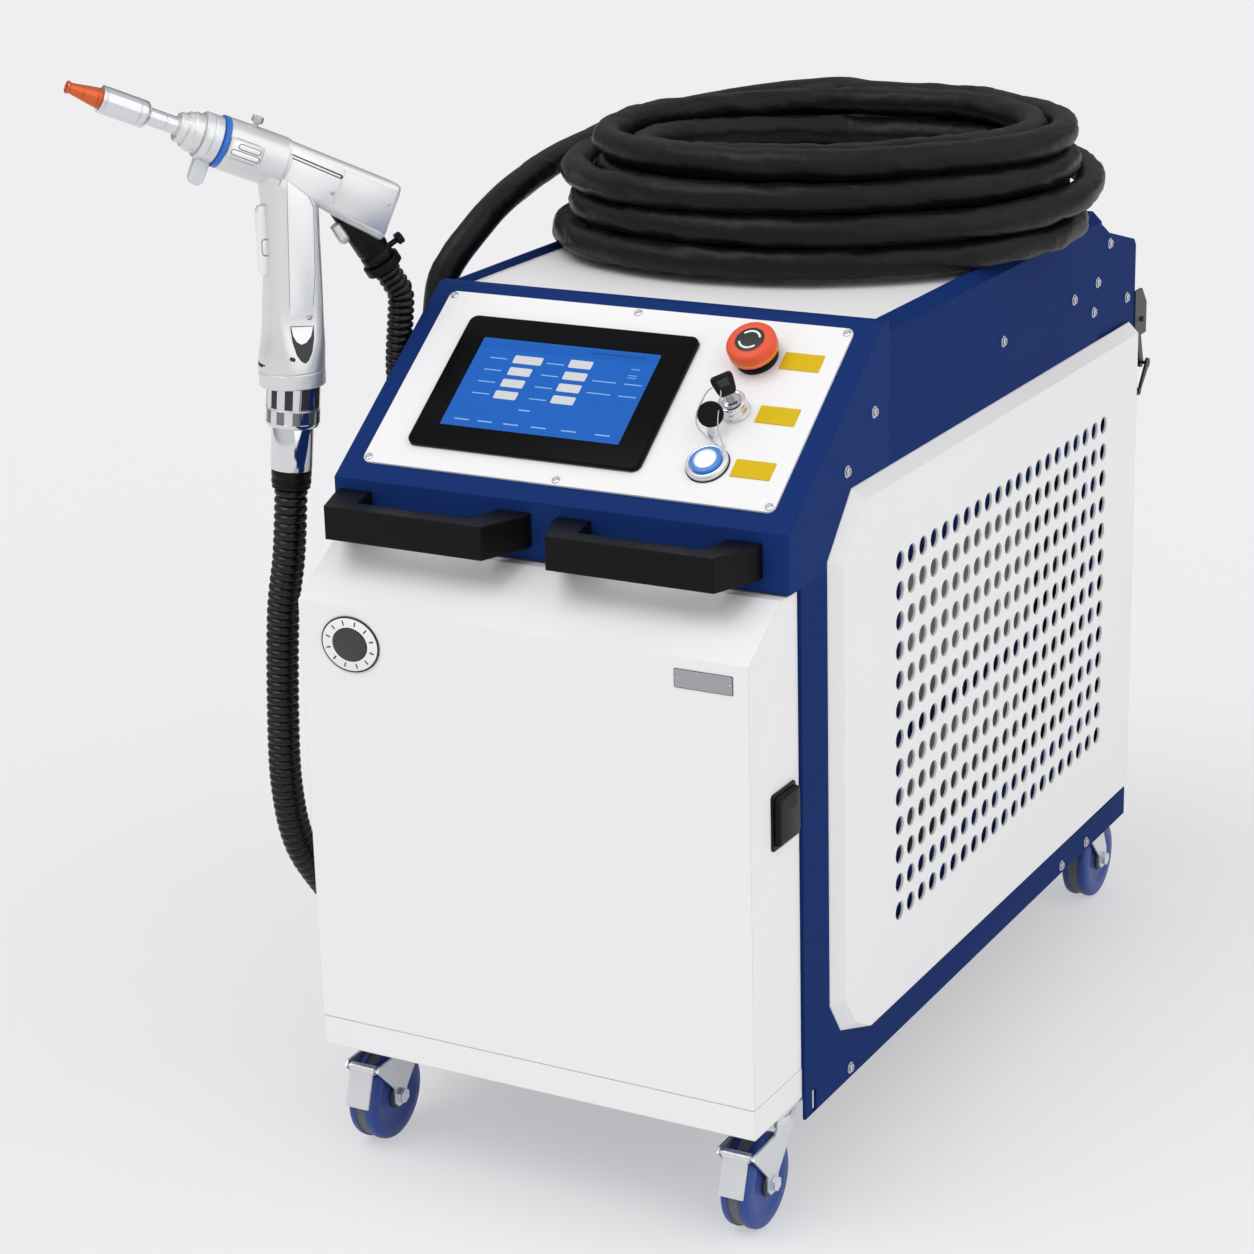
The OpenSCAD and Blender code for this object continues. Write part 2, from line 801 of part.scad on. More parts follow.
// Collars, bezels and barrels of the three controls
module control_bezels() {
    color(bright) placed() {
        slant_at(control_x, stop_s, 0) difference() {
            union() {
                translate([0, 0, fascia_t]) cylinder(h = stop_collar_t, r = stop_collar_r);
                translate([0, 0, -barrel_l + barrel_floor])
                    cylinder(h = barrel_l - barrel_floor + fascia_t, r = stop_barrel_r);
            }
            translate([0, 0, -barrel_l + 2 * barrel_floor]) cylinder(h = 2 * barrel_l, r = stop_stem_r + shaft_gap);
        }
        slant_at(key_x, key_s, 0) difference() {
            union() {
                translate([0, 0, fascia_t]) cylinder(h = key_bezel_t, d = key_bezel_d);
                translate([0, 0, -barrel_l + barrel_floor])
                    cylinder(h = barrel_l - barrel_floor + fascia_t, r = key_barrel_r);
            }
            translate([0, 0, -barrel_l + 2 * barrel_floor]) cylinder(h = 2 * barrel_l, r = key_plug_r + shaft_gap);
        }
        slant_at(control_x, start_s, 0) difference() {
            union() {
                translate([0, 0, fascia_t])
                    cylinder(h = start_bezel_t, r1 = start_d / 2, r2 = start_bezel_top_r);
                translate([0, 0, -start_barrel_l]) cylinder(h = start_barrel_l + fascia_t, r = start_barrel_r);
            }
            translate([0, 0, -start_barrel_l + barrel_floor])
                cylinder(h = 2 * barrel_l, r = start_cap_r + shaft_gap);
        }
    }
}
module stop_head() {
    rise = stop_head_top - stop_head_low;
    color(red) placed() slant_at(control_x, stop_s, 0) {
        translate([0, 0, -barrel_l / 3]) cylinder(h = barrel_l / 3 + stop_head_low, r = stop_stem_r);
        translate([0, 0, stop_head_low]) rotate_extrude() polygon([[0, 0], [stop_d / 2 - stop_dome / 2, 0],
            [stop_d / 2, stop_dome / 2], [stop_d / 2, rise - stop_dome], [stop_d / 2 - stop_dome / 3, rise - stop_dome / 2],
            [stop_d / 2 - stop_dome, rise - stop_dome / 5], [stop_d / 3, rise], [0, rise]]);
    }
}
module switch_key() {
    plug_top = fascia_t + key_bezel_t + fit;
    color(black) placed() slant_at(key_x, key_s, 0) {
        translate([0, 0, -barrel_l / 2]) cylinder(h = barrel_l / 2 + plug_top, r = key_plug_r);
        rotate([0, 0, -key_turn]) {
            box([-key_blade_w / 2, -key_blade_t / 2, plug_top - cut],
                [key_blade_w / 2, key_blade_t / 2, key_head_low + cut]);
            difference() {
                box([-key_head_w / 2, -key_head_t / 2, key_head_low], [key_head_w / 2, key_head_t / 2, key_head_top]);
                translate([key_hole_x, 0, key_hole_n]) rod_y(-key_head_t, key_head_t, key_hole_r);
            }
        }
    }
}
module spare_key() {
    color(steel) placed() slant_at(key_x, key_s, 0) rotate([0, 0, -key_turn]) {
        translate([ring_x, ring_y, ring_n]) rotate([-ring_tilt, 0, 0])
            rotate_extrude() translate([ring_r, 0]) circle(r = ring_wire_r, $fn = 16);
        translate([spare_out, spare_near, spare_n]) rotate([spare_tilt, 0, 0]) {
            rod_y(-spare_t / 2, spare_t / 2, spare_r);
            rotate([0, -spare_blade_lean, 0]) box([-spare_blade_w / 2, -spare_blade_t / 2, -spare_r - spare_blade_l],
                [spare_blade_w / 2, spare_blade_t / 2, -spare_r + spare_t]);
        }
    }
}
module start_button() {
    color(bright) placed() slant_at(control_x, start_s, start_cap_low)
        cylinder(h = start_cap_top - start_cap_low, r = start_cap_r);
}

// Kick skirt: front plate and side returns round the floor plate's front
module kick_skirt() {
    z1 = caster_h + skirt_h;
    color(white) placed() {
        box([-door_half, 0, caster_h], [door_half, sheet, z1]);
        both_sides() box([door_half - sheet, sheet, caster_h], [door_half, front_y, z1]);
    }
}

// Door: a folded pan with the sloped top bevel and two hinge knuckles at its left edge
module door_outline(inset) {
    z0 = door_z;
    zf = door_z + door_front_h;
    polygon([[inset, z0 + inset], [inset, zf - inset / 2], [door_bevel + inset / 2, door_top - inset],
        [door_d + (inset > 0 ? cut : 0), door_top - inset], [door_d + (inset > 0 ? cut : 0), z0 + inset]]);
}
module door() {
    color(white) placed() {
        difference() {
            along_x(-door_half, door_half) door_outline(0);
            along_x(-door_half + sheet, door_half - sheet) door_outline(sheet);
        }
        for (z = [hinge_z1, hinge_z2]) translate([0, 0, z - knuckle_h - fit]) difference() {
            union() {
                translate([knuckle_x, front_y - hinge_back, 0]) cylinder(h = knuckle_h, r = knuckle_r);
                box([knuckle_x, door_d - knuckle_arm, 0], [-door_half, door_d, knuckle_h]);
            }
            translate([knuckle_x, front_y - hinge_back, -cut])
                cylinder(h = knuckle_h + 2 * cut, r = hinge_pin_r + shaft_gap);
        }
    }
}

// Round badge, plain nameplate and the base plate with ears of the side latch
module badge_outline(share) {
    polygon([for (i = [0 : badge_points - 1]) [badge_half_w * share * cos(360 * i / badge_points),
        badge_half_h * share * sin(360 * i / badge_points)]]);
}
module door_badges() {
    pin_x = door_half + latch_pin_out;
    pin_y = latch_y + latch_ear;
    color(black) placed() {
        translate([badge_x, 0, badge_z]) rotate([90, 0, 0]) {
            linear_extrude(badge_t) badge_outline(1);
            linear_extrude(badge_t + badge_core_t) badge_outline(badge_core_share);
        }
        box([nameplate_x, -nameplate_t, nameplate_z], [nameplate_x + nameplate_w, 0, nameplate_z + nameplate_h]);
        box([door_half, latch_y, latch_z], [door_half + latch_base_t, latch_y + latch_l, latch_z + latch_h]);
        for (z = [latch_z, latch_z + latch_h - latch_ear])
            box([door_half, latch_y, z], [pin_x + latch_ear, latch_y + 2 * latch_ear, z + latch_ear]);
        translate([pin_x, pin_y, latch_z]) cylinder(h = latch_h, r = latch_pin_r);
    }
}
module door_latch() {
    pin_x = door_half + latch_pin_out;
    pin_y = latch_y + latch_ear;
    z0 = latch_z + latch_ear + fit;
    h = latch_h - 2 * latch_ear - 2 * fit;
    color(black) placed() difference() {
        union() {
            translate([pin_x, pin_y, z0]) cylinder(h = h, r = latch_knuckle_r);
            box([door_half + latch_base_t + fit, pin_y, z0], [door_half + latch_d, latch_y + latch_l, z0 + h]);
        }
        translate([pin_x, pin_y, z0 - cut]) cylinder(h = h + 2 * cut, r = latch_pin_r + shaft_gap);
    }
}

// Two bridge handles under the control head
module bridge_handle() {
    h = handle_w / 2;
    y_foot = chin_y - handle_foot_d;
    y_bar = chin_y - handle_reach;
    y_in = y_bar + handle_bar_d;
    bar = h - handle_inset;
    throat = h - handle_foot_l;
    inner = throat - handle_foot_d;
    polygon([[-h, chin_y], [-h, y_foot], [-bar, y_bar], [bar, y_bar], [h, y_foot], [h, chin_y],
        [throat, chin_y], [throat, y_foot], [inner, y_in], [-inner, y_in], [-throat, y_foot], [-throat, chin_y]]);
}
module front_handles() {
    color(black) placed() for (x = [handle_left_x, handle_right_x])
        translate([x, 0, chin_z + handle_rise]) linear_extrude(handle_bar_h) bridge_handle();
}

// White perforated side panel: a bevelled tray with a grid of round vents
module panel_outline() {
    y1 = panel_y + panel_l;
    z1 = panel_z + panel_h;
    polygon([[panel_y, panel_z + panel_cut_low_z1 + panel_cut_low_z2], [panel_y, z1 - panel_cut_top_z],
        [panel_y + panel_cut_top_y, z1], [y1, z1], [y1, panel_z], [panel_y + panel_cut_low_y2, panel_z],
        [panel_y + panel_cut_low_y1, panel_z + panel_cut_low_z2]]);
}
module panel_face() {
    y1 = panel_y + panel_l;
    z1 = panel_z + panel_h;
    b = panel_bevel;
    polygon([[panel_y + b, panel_z + panel_cut_low_z1 + panel_cut_low_z2 + b / 3],
        [panel_y + b, z1 - panel_cut_top_z - b / 2], [panel_y + panel_cut_top_y + b / 2, z1 - b],
        [y1 - fit, z1 - b], [y1 - fit, panel_z + fit], [panel_y + panel_cut_low_y2 + b / 3, panel_z + fit],
        [panel_y + panel_cut_low_y1 + b, panel_z + panel_cut_low_z2 + b / 2]]);
}
module panel_block(x0, x1) {
    hull() {
        along_x(x0, x0 + fit) panel_outline();
        along_x(x1 - fit, x1) panel_face();
    }
}
module side_panel() {
    difference() {
        panel_block(half_w, half_w + panel_t);
        intersection() {
            panel_block(half_w - panel_wall, half_w + panel_t - panel_wall);
            along_x(half_w - panel_wall - cut, half_w + panel_t) translate([panel_y + panel_wall, panel_z + panel_wall])
                square([panel_l - 2 * panel_wall, panel_h - 2 * panel_wall]);
        }
        for (i = [0 : vent_columns - 1], j = [0 : vent_rows - 1])
            translate([0, vent_y + i * vent_step_y, vent_z + j * vent_step_z])
                rod_x(half_w, half_w + panel_t + cut, vent_d / 2);
    }
}
module right_panel() { color(white) placed() side_panel(); }
module left_panel() { color(white) placed() mirror([1, 0, 0]) side_panel(); }

// Pan-head screws on the shells and the fascia, and the two door hinge pins
module cabinet_fasteners() {
    screw_in = fascia_screw_edge;
    color(bright) placed() {
        both_sides() {
            for (p = side_screws) translate([0, p[0], p[1]]) rod_x(half_w, half_w + screw_t, screw_r);
            translate([0, rear_screw[0], rear_screw[1]]) rod_x(inner_x, inner_x + screw_t, screw_r);
        }
        for (s = [fascia_s + screw_in, fascia_s + fascia_l - screw_in],
            x = [fascia_x + screw_in, fascia_middle_x, fascia_x + fascia_w - screw_in])
            slant_at(x, s, fascia_t) cylinder(h = screw_t / 2, r = screw_r - 1.5 * fit);
        for (z = [hinge_z1, hinge_z2]) translate([knuckle_x, front_y - hinge_back, z - knuckle_h - 2 * fit])
            cylinder(h = 2 * knuckle_h + 2 * fit, r = hinge_pin_r);
    }
}

// Draw latch on the rear face's right edge
module draw_latch_plates() {
    y0 = cabinet_d;
    z1 = draw_z + draw_h;
    pivot_z = draw_z + draw_pivot_up;
    color(black) placed() {
        box([draw_x, y0, draw_z], [draw_x + draw_w, y0 + draw_plate_t, z1]);
        for (x = [draw_x, draw_x + draw_w - draw_plate_t]) along_x(x, x + draw_plate_t)
            polygon([[y0, draw_z], [y0 + draw_cheek_d, draw_z], [y0 + draw_cheek_d, z1 - draw_pivot_up],
                [y0 + draw_pivot_y, z1], [y0, z1]]);
        translate([0, y0 + draw_pivot_y, pivot_z]) rod_x(draw_x, draw_x + draw_w + draw_plate_t, draw_pin_r);
        translate([0, y0 + keeper_y, draw_z - draw_h - keeper_post]) {
            rod_x(draw_x + draw_plate_t, draw_x + draw_w + bail_t + 3 * fit, keeper_r);
            box([draw_x + draw_plate_t, -keeper_y, -keeper_r],
                [draw_x + draw_w - 3 * fit, 0, keeper_r]);
        }
    }
}
module draw_latch_lever() {
    y0 = cabinet_d + draw_pivot_y;
    z0 = draw_z + draw_pivot_up;
    x0 = draw_x + (draw_w - lever_w) / 2;
    y_end = cabinet_d + lever_end_y;
    z_end = z0 - lever_end_drop;
    color(bright) placed() {
        difference() {
            union() {
                translate([0, y0, z0]) rod_x(x0, x0 + lever_w, lever_t / 2);
                translate([0, y_end, z_end]) rod_x(x0, x0 + lever_w, lever_t / 2);
                along_x(x0, x0 + lever_w) polygon([[y0 - lever_t / 2, z0], [y0 + lever_t / 2, z0],
                    [y_end + lever_t / 2, z_end], [y_end - lever_t / 2, z_end]]);
            }
            translate([0, y0, z0]) rod_x(x0 - cut, x0 + lever_w + cut, draw_pin_r + shaft_gap);
        }
        translate([0, y_end, z_end]) rod_x(x0 + lever_w, draw_x + draw_w + fit + bail_t, bail_pin_r);
    }
}
module draw_latch_bail() {
    y_end = cabinet_d + lever_end_y;
    z_end = draw_z + draw_pivot_up - lever_end_drop;
    y_keep = cabinet_d + keeper_y;
    z_keep = draw_z - draw_h - keeper_post;
    r_in = keeper_r + bail_hole_gap;
    r_out = r_in + bail_pin_r + fit;
    x0 = draw_x + draw_w + fit;
    color(bright) placed() difference() {
        union() {
            translate([0, y_end, z_end]) rod_x(x0, x0 + bail_t, bail_eye_r);
            translate([0, y_keep, z_keep]) rod_x(x0, x0 + bail_t, r_out);
            along_x(x0, x0 + bail_t) polygon([[y_end - bail_eye_r, z_end], [y_end + bail_eye_r, z_end],
                [y_keep + r_out, z_keep], [y_keep, z_keep]]);
        }
        translate([0, y_end, z_end]) rod_x(x0 - cut, x0 + bail_t + cut, bail_pin_r + shaft_gap);
        translate([0, y_keep, z_keep]) rod_x(x0 - cut, x0 + bail_t + cut, r_in);
        along_x(x0 - cut, x0 + bail_t + cut) polygon([[y_keep - 2 * r_out, z_keep], [y_keep + r_in, z_keep],
            [y_keep + r_in, z_keep + r_in], [y_keep - 2 * r_out, z_keep + 4 * r_out]]);
    }
}

// Casters: fixed plates with raceways, swivelling forks, wheels on their axles, brake pedals in front
module at_swivels(front, rear) {
    for (x = [-caster_span / 2, caster_span / 2], y = concat(front ? [front_swivel_y] : [],
        rear ? [rear_swivel_y] : [])) translate([x, y, 0]) children();
}
module caster_plates() {
    color(bright) placed() at_swivels(true, true) difference() {
        union() {
            box([-caster_plate_w / 2, -caster_plate_l / 2, caster_h - sheet],
                [caster_plate_w / 2, caster_plate_l / 2, caster_h]);
            translate([0, 0, raceway_low]) cylinder(h = caster_h - sheet - raceway_low, r = raceway_r);
        }
        translate([0, 0, raceway_low - cut])
            cylinder(h = caster_h - raceway_low + 2 * cut, r = kingpin_r + shaft_gap);
    }
}
module fork_leg(pedal) {
    t = caster_trail;
    f = leg_foot;
    polygon(concat([[leg_half, fork_top], [leg_half, fork_top - 2 * fork_disc_t], [-t + f, axle_z + f / 2],
        [-t + f, axle_z - f / 2], [-t + f / 2, axle_z - f], [-t - f / 2, axle_z - f], [-t - f, axle_z - f / 2],
        [-t - f, axle_z + f]],
        pedal ? [[-pedal_pivot_out, pedal_pivot_z - arm_half], [-pedal_pivot_out - arm_half, pedal_pivot_z],
        [-pedal_pivot_out, pedal_pivot_z + arm_half], [-leg_half - sheet, arm_top_z]] : [],
        [[-leg_half, fork_top - fork_disc_t], [-leg_half, fork_top]]));
}
module fork(pedal) {
    color(bright) {
        translate([0, 0, fork_top - fork_disc_t]) cylinder(h = fork_disc_t, r = fork_disc_r);
        translate([0, 0, fork_top]) cylinder(h = kingpin_up, r = kingpin_r);
        for (x = [-leg_in - leg_t, leg_in]) along_x(x, x + leg_t) fork_leg(pedal);
        translate([0, -caster_trail, axle_z]) {
            rod_x(-leg_in, leg_in, axle_d / 2);
            for (x = [-leg_in - leg_t - axle_head_t, leg_in + leg_t])
                translate([x, 0, 0]) rotate([0, 90, 0]) cylinder(h = axle_head_t, r = axle_head_r, $fn = 6);
        }
        if (pedal) translate([0, -pedal_pivot_out, pedal_pivot_z]) rod_x(-leg_in, leg_in, pedal_pin_r);
    }
}
module wheel() {
    color(black) translate([0, -caster_trail, axle_z]) difference() {
        union() {
            rod_x(-wheel_w / 2, wheel_w / 2, wheel_d / 2 - tyre_groove);
            for (x = [-wheel_w / 2, tyre_band / 2]) rod_x(x, x + (wheel_w - tyre_band) / 2, wheel_d / 2);
            rod_x(-hub_w / 2, hub_w / 2, hub_r);
        }
        rod_x(-hub_w, hub_w, axle_d / 2 + shaft_gap);
    }
}
module pedal() {
    color(bright) translate([0, -pedal_pivot_out, pedal_pivot_z]) difference() {
        union() {
            rod_x(-pedal_w / 2, pedal_w / 2, pedal_eye_r);
            rotate([-pedal_lean, 0, 0]) box([pedal_t / 2 - pedal_w / 2, -pedal_out, -pedal_l],
                [pedal_w / 2 - pedal_t / 2, pedal_t - pedal_out, -pedal_pin_r - shaft_gap]);
        }
        rod_x(-pedal_w, pedal_w, pedal_pin_r + shaft_gap);
    }
}
module at_corner(side, rear) {
    placed() translate([side * caster_span / 2, rear ? rear_swivel_y : front_swivel_y, 0])
        rotate([0, 0, rear ? 180 : 0]) children();
}
module caster_fork_fl() { at_corner(-1, false) fork(true); }
module caster_fork_fr() { at_corner(1, false) fork(true); }
module caster_fork_rl() { at_corner(-1, true) fork(false); }
module caster_fork_rr() { at_corner(1, true) fork(false); }
module caster_wheel_fl() { at_corner(-1, false) wheel(); }
module caster_wheel_fr() { at_corner(1, false) wheel(); }
module caster_wheel_rl() { at_corner(-1, true) wheel(); }
module caster_wheel_rr() { at_corner(1, true) wheel(); }
module brake_pedal_fl() { at_corner(-1, false) pedal(); }
module brake_pedal_fr() { at_corner(1, false) pedal(); }

// Frames of the gun: its grip, its barrel, the hose fitting under the grip and the rear connector
module gun_frame() { placed() translate([gun_x, gun_y, gun_z]) rotate([0, 0, gun_turn]) children(); }
module barrel_frame() { gun_frame() translate([barrel_x, 0, barrel_z]) rotate([0, -gun_tilt, 0]) children(); }
module fitting_frame() { gun_frame() translate([fitting_x, 0, fitting_z]) rotate([0, fitting_lean, 0]) children(); }
module connector_frame() {
    gun_frame() translate([connector_x, 0, connector_z]) rotate([0, connector_lean, 0]) children();
}
module block_outline() {
    polygon([[-front_l, block_top], [-front_l - block_l, block_top_rear], [-front_l - block_l, -block_low_rear],
        [-front_l - block_low_start, -block_low], [-front_l, -block_low]]);
}
module barrel_core(extra) {
    intersection() {
        rod_x(-front_l, -seal_w / 2, gun_r);
        box([-front_l - cut, -front_flat - extra, -2 * gun_r], [0, front_flat + extra, 2 * gun_r]);
    }
    along_y(-grip_half - extra, grip_half + extra) block_outline();
}
module gun_body() {
    color(steel) barrel_frame() difference() {
        union() {
            barrel_core(0);
            rod_x(-seal_w, ring_start, spigot_r);
            rod_x(ring_start, ring_end, front_ring_r);
            box([ring_start, -tab_t / 2, -tab_drop], [ring_start + tab_w, tab_t / 2, -spigot_r]);
        }
        box([ring_start - cut, -tab_t / 6, -tab_drop + tab_t / 2],
            [ring_start + tab_w + cut, tab_t / 6, -front_ring_r]);
        box([-drawer_u - drawer_l / 2 - fit, -drawer_w / 2 - fit, -drawer_h / 2 - fit],
            [-drawer_u + drawer_l / 2 + fit, 2 * gun_r, drawer_h / 2 + fit]);
        translate([-thumb_u, 0, gun_r - thumb_shank_l - cut])
            cylinder(h = thumb_shank_l + 2 * gun_r, r = thumb_shank_r + shaft_gap);
        box([-groove_u - groove_l, grip_half - groove_d, groove_v],
            [-groove_u, grip_half + cut, groove_v + groove_h]);
    }
}
module grip_solid() {
    along_y(-grip_half, grip_half) polygon(grip_points);
    translate([grip_base_x, 0, fitting_z - 2 * sheet]) cylinder(h = grip_base_top - fitting_z + 2 * sheet, r = grip_base_r);
    translate([grip_base_x, 0, grip_base_top])
        cylinder(h = grip_cone_top - grip_base_top, r1 = grip_base_r, r2 = grip_cone_r);
}
module gun_handle() {
    color(steel) {
        difference() {
            gun_frame() grip_solid();
            gun_frame() box([trigger_x - trigger_room, -trigger_half - 2 * fit, trigger_z - 2 * sheet],
                [trigger_x + trigger_out + cut, trigger_half + 2 * fit, trigger_z + trigger_l + 2 * fit]);
            barrel_frame() barrel_core(cut);
            fitting_frame() translate([0, 0, -nut_l]) cylinder(h = nut_l, r = 3 * nut_r);
        }
        gun_frame() translate([trigger_pin_x, 0, trigger_z + trigger_l - trigger_pin_down])
            rod_y(-2 * trigger_half, 2 * trigger_half, trigger_pin_r);
    }
}
module gun_trigger() {
    z1 = trigger_z + trigger_l;
    pin_z = z1 - trigger_pin_down;
    color(steel) gun_frame() difference() {
        union() {
            box([trigger_x, -trigger_half, trigger_z], [trigger_x + trigger_out, trigger_half, z1]);
            box([trigger_pin_x - lug_half, -trigger_half, z1 - lug_h], [trigger_x, trigger_half, z1]);
        }
        translate([trigger_pin_x, 0, pin_z]) rod_y(-2 * trigger_half, 2 * trigger_half, trigger_pin_r + shaft_gap);
    }
}
module gun_seal() {
    color(blue) barrel_frame() difference() {
        rod_x(-seal_w / 2, ring_start, seal_r);
        rod_x(-seal_w, ring_start + cut, spigot_r);
    }
}
module gun_collar() {
    color(steel) barrel_frame() {
        intersection() {
            rod_x(ring_end, collar_mid, collar_r);
            box([ring_end, -collar_r, -collar_flat], [collar_mid, collar_r, collar_flat]);
        }
        rod_x(collar_mid, collar_end, collar_nose_r);
    }
}
module gun_tubes() {
    color(bright) barrel_frame() {
        rod_x(collar_end, tube2_end, tube2_r);
        translate([tube2_end, 0, 0]) rotate([0, 90, 0]) {
            cylinder(h = tube_chamfer, r1 = tube_r - tube_chamfer, r2 = tube_r);
            translate([0, 0, tube_chamfer]) cylinder(h = tube_end - tube2_end - 1.5 * tube_chamfer, r = tube_r);
            translate([0, 0, tube_end - tube2_end - tube_chamfer / 2])
                cylinder(h = tube_chamfer / 2, r1 = tube_r, r2 = tube_r - tube_chamfer / 2);
        }
    }
}
module gun_nozzle() {
    color(copper) barrel_frame() translate([tube_end, 0, 0]) rotate([0, 90, 0]) difference() {
        union() {
            cylinder(h = nozzle_l, r1 = nozzle_r, r2 = nozzle_tip_r);
            translate([0, 0, nozzle_l]) cylinder(h = nozzle_ring_t, r = nozzle_ring_r);
        }
        translate([0, 0, nozzle_l / 2]) cylinder(h = nozzle_l, r = nozzle_bore_r);
    }
}
module lens_drawer() {
    color(steel) barrel_frame() difference() {
        union() {
            box([-drawer_u - drawer_l / 2, -drawer_w / 2, -drawer_h / 2],
                [-drawer_u + drawer_l / 2, front_flat, drawer_h / 2]);
            box([-drawer_u - drawer_l / 2 - drawer_lip, front_flat + fit, -drawer_h / 2 - drawer_lip],
                [-drawer_u + drawer_l / 2 + drawer_lip, front_flat + drawer_lip, drawer_h / 2 + drawer_lip]);
            box([-drawer_u - drawer_l / 2, front_flat, -drawer_h / 2],
                [-drawer_u + drawer_l / 2, front_flat + drawer_lip, drawer_h / 2]);
        }
        translate([-drawer_u, 0, -drawer_h]) cylinder(h = 2 * drawer_h, r = drawer_lens_r);
    }
}
module thumb_screw() {
    color(bright) barrel_frame() translate([-thumb_u, 0, gun_r - thumb_shank_l]) {
        cylinder(h = thumb_shank_l + thumb_neck, r = thumb_shank_r);
        translate([0, 0, thumb_shank_l + thumb_neck]) cylinder(h = thumb_head_t, r = thumb_head_r);
    }
}
module handle_fitting() {
    color(bright) fitting_frame() {
        translate([0, 0, -nut_band]) cylinder(h = nut_band, r = nut_r);
        translate([0, 0, -nut_l]) cylinder(h = nut_l - nut_band, r = nut_r - fit);
        translate([0, 0, -nut_l - fitting_sleeve_l]) cylinder(h = fitting_sleeve_l, r = fitting_sleeve_r);
        translate([0, 0, -nut_l - fitting_sleeve_l - fitting_boot_l]) cylinder(h = fitting_boot_l, r = fitting_boot_r);
    }
}
module gun_connector() {
    color(black) difference() {
        connector_frame() {
            translate([0, 0, -connector_l]) cylinder(h = connector_l + connector_up, r = connector_r);
            translate([0, 0, -connector_wing_at]) rod_x(-connector_r - connector_wing, 0, connector_wing_t / 2);
            box([-connector_r - connector_wing, -connector_wing_t, -connector_wing_at - connector_wing_t],
                [-connector_r - connector_wing / 2, connector_wing_t, -connector_wing_at + connector_wing_t]);
        }
        barrel_frame() barrel_core(cut);
    }
}

// Points in the cabinet's frame of places on the gun
function turn_z(p, a) = [p[0] * cos(a) - p[1] * sin(a), p[0] * sin(a) + p[1] * cos(a), p[2]];
function on_gun(p) = [gun_x, gun_y, gun_z] + turn_z(p, gun_turn);
function lean_axis(a) = [-sin(a), 0, -cos(a)];
function fitting_end() = on_gun([fitting_x, 0, fitting_z]
    + (nut_l + fitting_sleeve_l + fitting_boot_l) * lean_axis(fitting_lean));
function fitting_way() = turn_z(lean_axis(fitting_lean), gun_turn);
function connector_tip() = on_gun([connector_x, 0, connector_z] + connector_l * lean_axis(connector_lean));
function connector_way() = turn_z(lean_axis(connector_lean), gun_turn);
function clamp_middle() = on_gun([connector_x, 0, connector_z] + (clamp_at + clamp_w / 2) * lean_axis(connector_lean));

module rod_between(a, b, r) {
    d = b - a;
    translate(a) rotate([0, acos(d[2] / norm(d)), atan2(d[1], d[0])]) cylinder(h = norm(d), r = r);
}
module gun_holder() {
    top = [holder_x, holder_y, holder_top];
    middle = clamp_middle();
    reach = connector_r + clamp_wall / 2;
    across = (top - middle) - ((top - middle) * connector_way()) * connector_way();
    color(black) {
        placed() {
            box([-half_w - holder_foot_t, holder_y - holder_foot / 2, holder_z - holder_foot / 2],
                [-half_w, holder_y + holder_foot / 2, holder_z + holder_foot / 2]);
            translate([0, holder_y, holder_z]) rod_x(holder_x, -half_w - holder_foot_t / 2, holder_rod_r);
            translate([holder_x, holder_y, holder_z]) sphere(r = holder_elbow_r);
            translate([holder_x, holder_y, holder_z]) cylinder(h = holder_top - holder_z, r = holder_rod_r);
            translate(top) sphere(r = holder_elbow_r);
        }
        difference() {
            union() {
                placed() rod_between(top, middle + reach * unit(across), holder_rod_r);
                connector_frame() translate([0, 0, -clamp_at - clamp_w])
                    cylinder(h = clamp_w, r = connector_r + clamp_wall);
            }
            connector_frame() translate([0, 0, -connector_l]) cylinder(h = connector_l, r = connector_r);
        }
    }
}

// Tubes are skins of rings of points; a ring lies square to the way of its tube
function unit(v) = v / norm(v);
function ring(c, way, ref, r, sides) = let (a = unit(cross(way, ref)), b = unit(cross(a, way)))
    [for (k = [0 : sides - 1]) c + r * (sin(360 * k / sides) * a + cos(360 * k / sides) * b)];
function joined(rings) = [for (row = rings, p = row) p];
function side_faces(i, j, n) = [for (k = [0 : n - 1]) let (m = (k + 1) % n)
    each [[i * n + k, i * n + m, j * n + m], [i * n + k, j * n + m, j * n + k]]];
module solid_skin(rings) {
    n = len(rings[0]);
    last = len(rings) - 1;
    polyhedron(points = joined(rings), faces = concat(
        [for (i = [0 : last - 1]) each side_faces(i, i + 1, n)],
        [for (k = [1 : n - 2]) [0, k + 1, k]], [for (k = [1 : n - 2]) [last * n, last * n + k, last * n + k + 1]]));
}
module closed_skin(rings) {
    n = len(rings[0]);
    polyhedron(points = joined(rings),
        faces = [for (i = [0 : len(rings) - 1]) each side_faces(i, (i + 1) % len(rings), n)]);
}

// A smooth way through hand-chosen points, with a straight run of one diameter at both ends
function bend(a, b, c, d, t) = 0.5 * (2 * b + (c - a) * t + (2 * a - 5 * b + 4 * c - d) * t * t
    + (3 * b - a - 3 * c + d) * t * t * t);
function smooth_way(p) = concat([p[0]],
    [for (i = [1 : len(p) - 3], k = [0 : spline_steps - 1]) bend(p[i - 1], p[i], p[i + 1], p[i + 2], k / spline_steps)],
    [p[len(p) - 2], p[len(p) - 1]]);
function lengths(p) = [for (i = 0, s = 0; i < len(p); s = s + (i + 1 < len(p) ? norm(p[i + 1] - p[i]) : 0), i = i + 1) s];
function table(p, s, k) = [for (i = [0 : len(p) - 1]) [s[i], p[i][k]]];
function tables(p) = let (s = lengths(p)) [table(p, s, 0), table(p, s, 1), table(p, s, 2)];
function way_length(p) = let (s = lengths(p)) s[len(s) - 1];
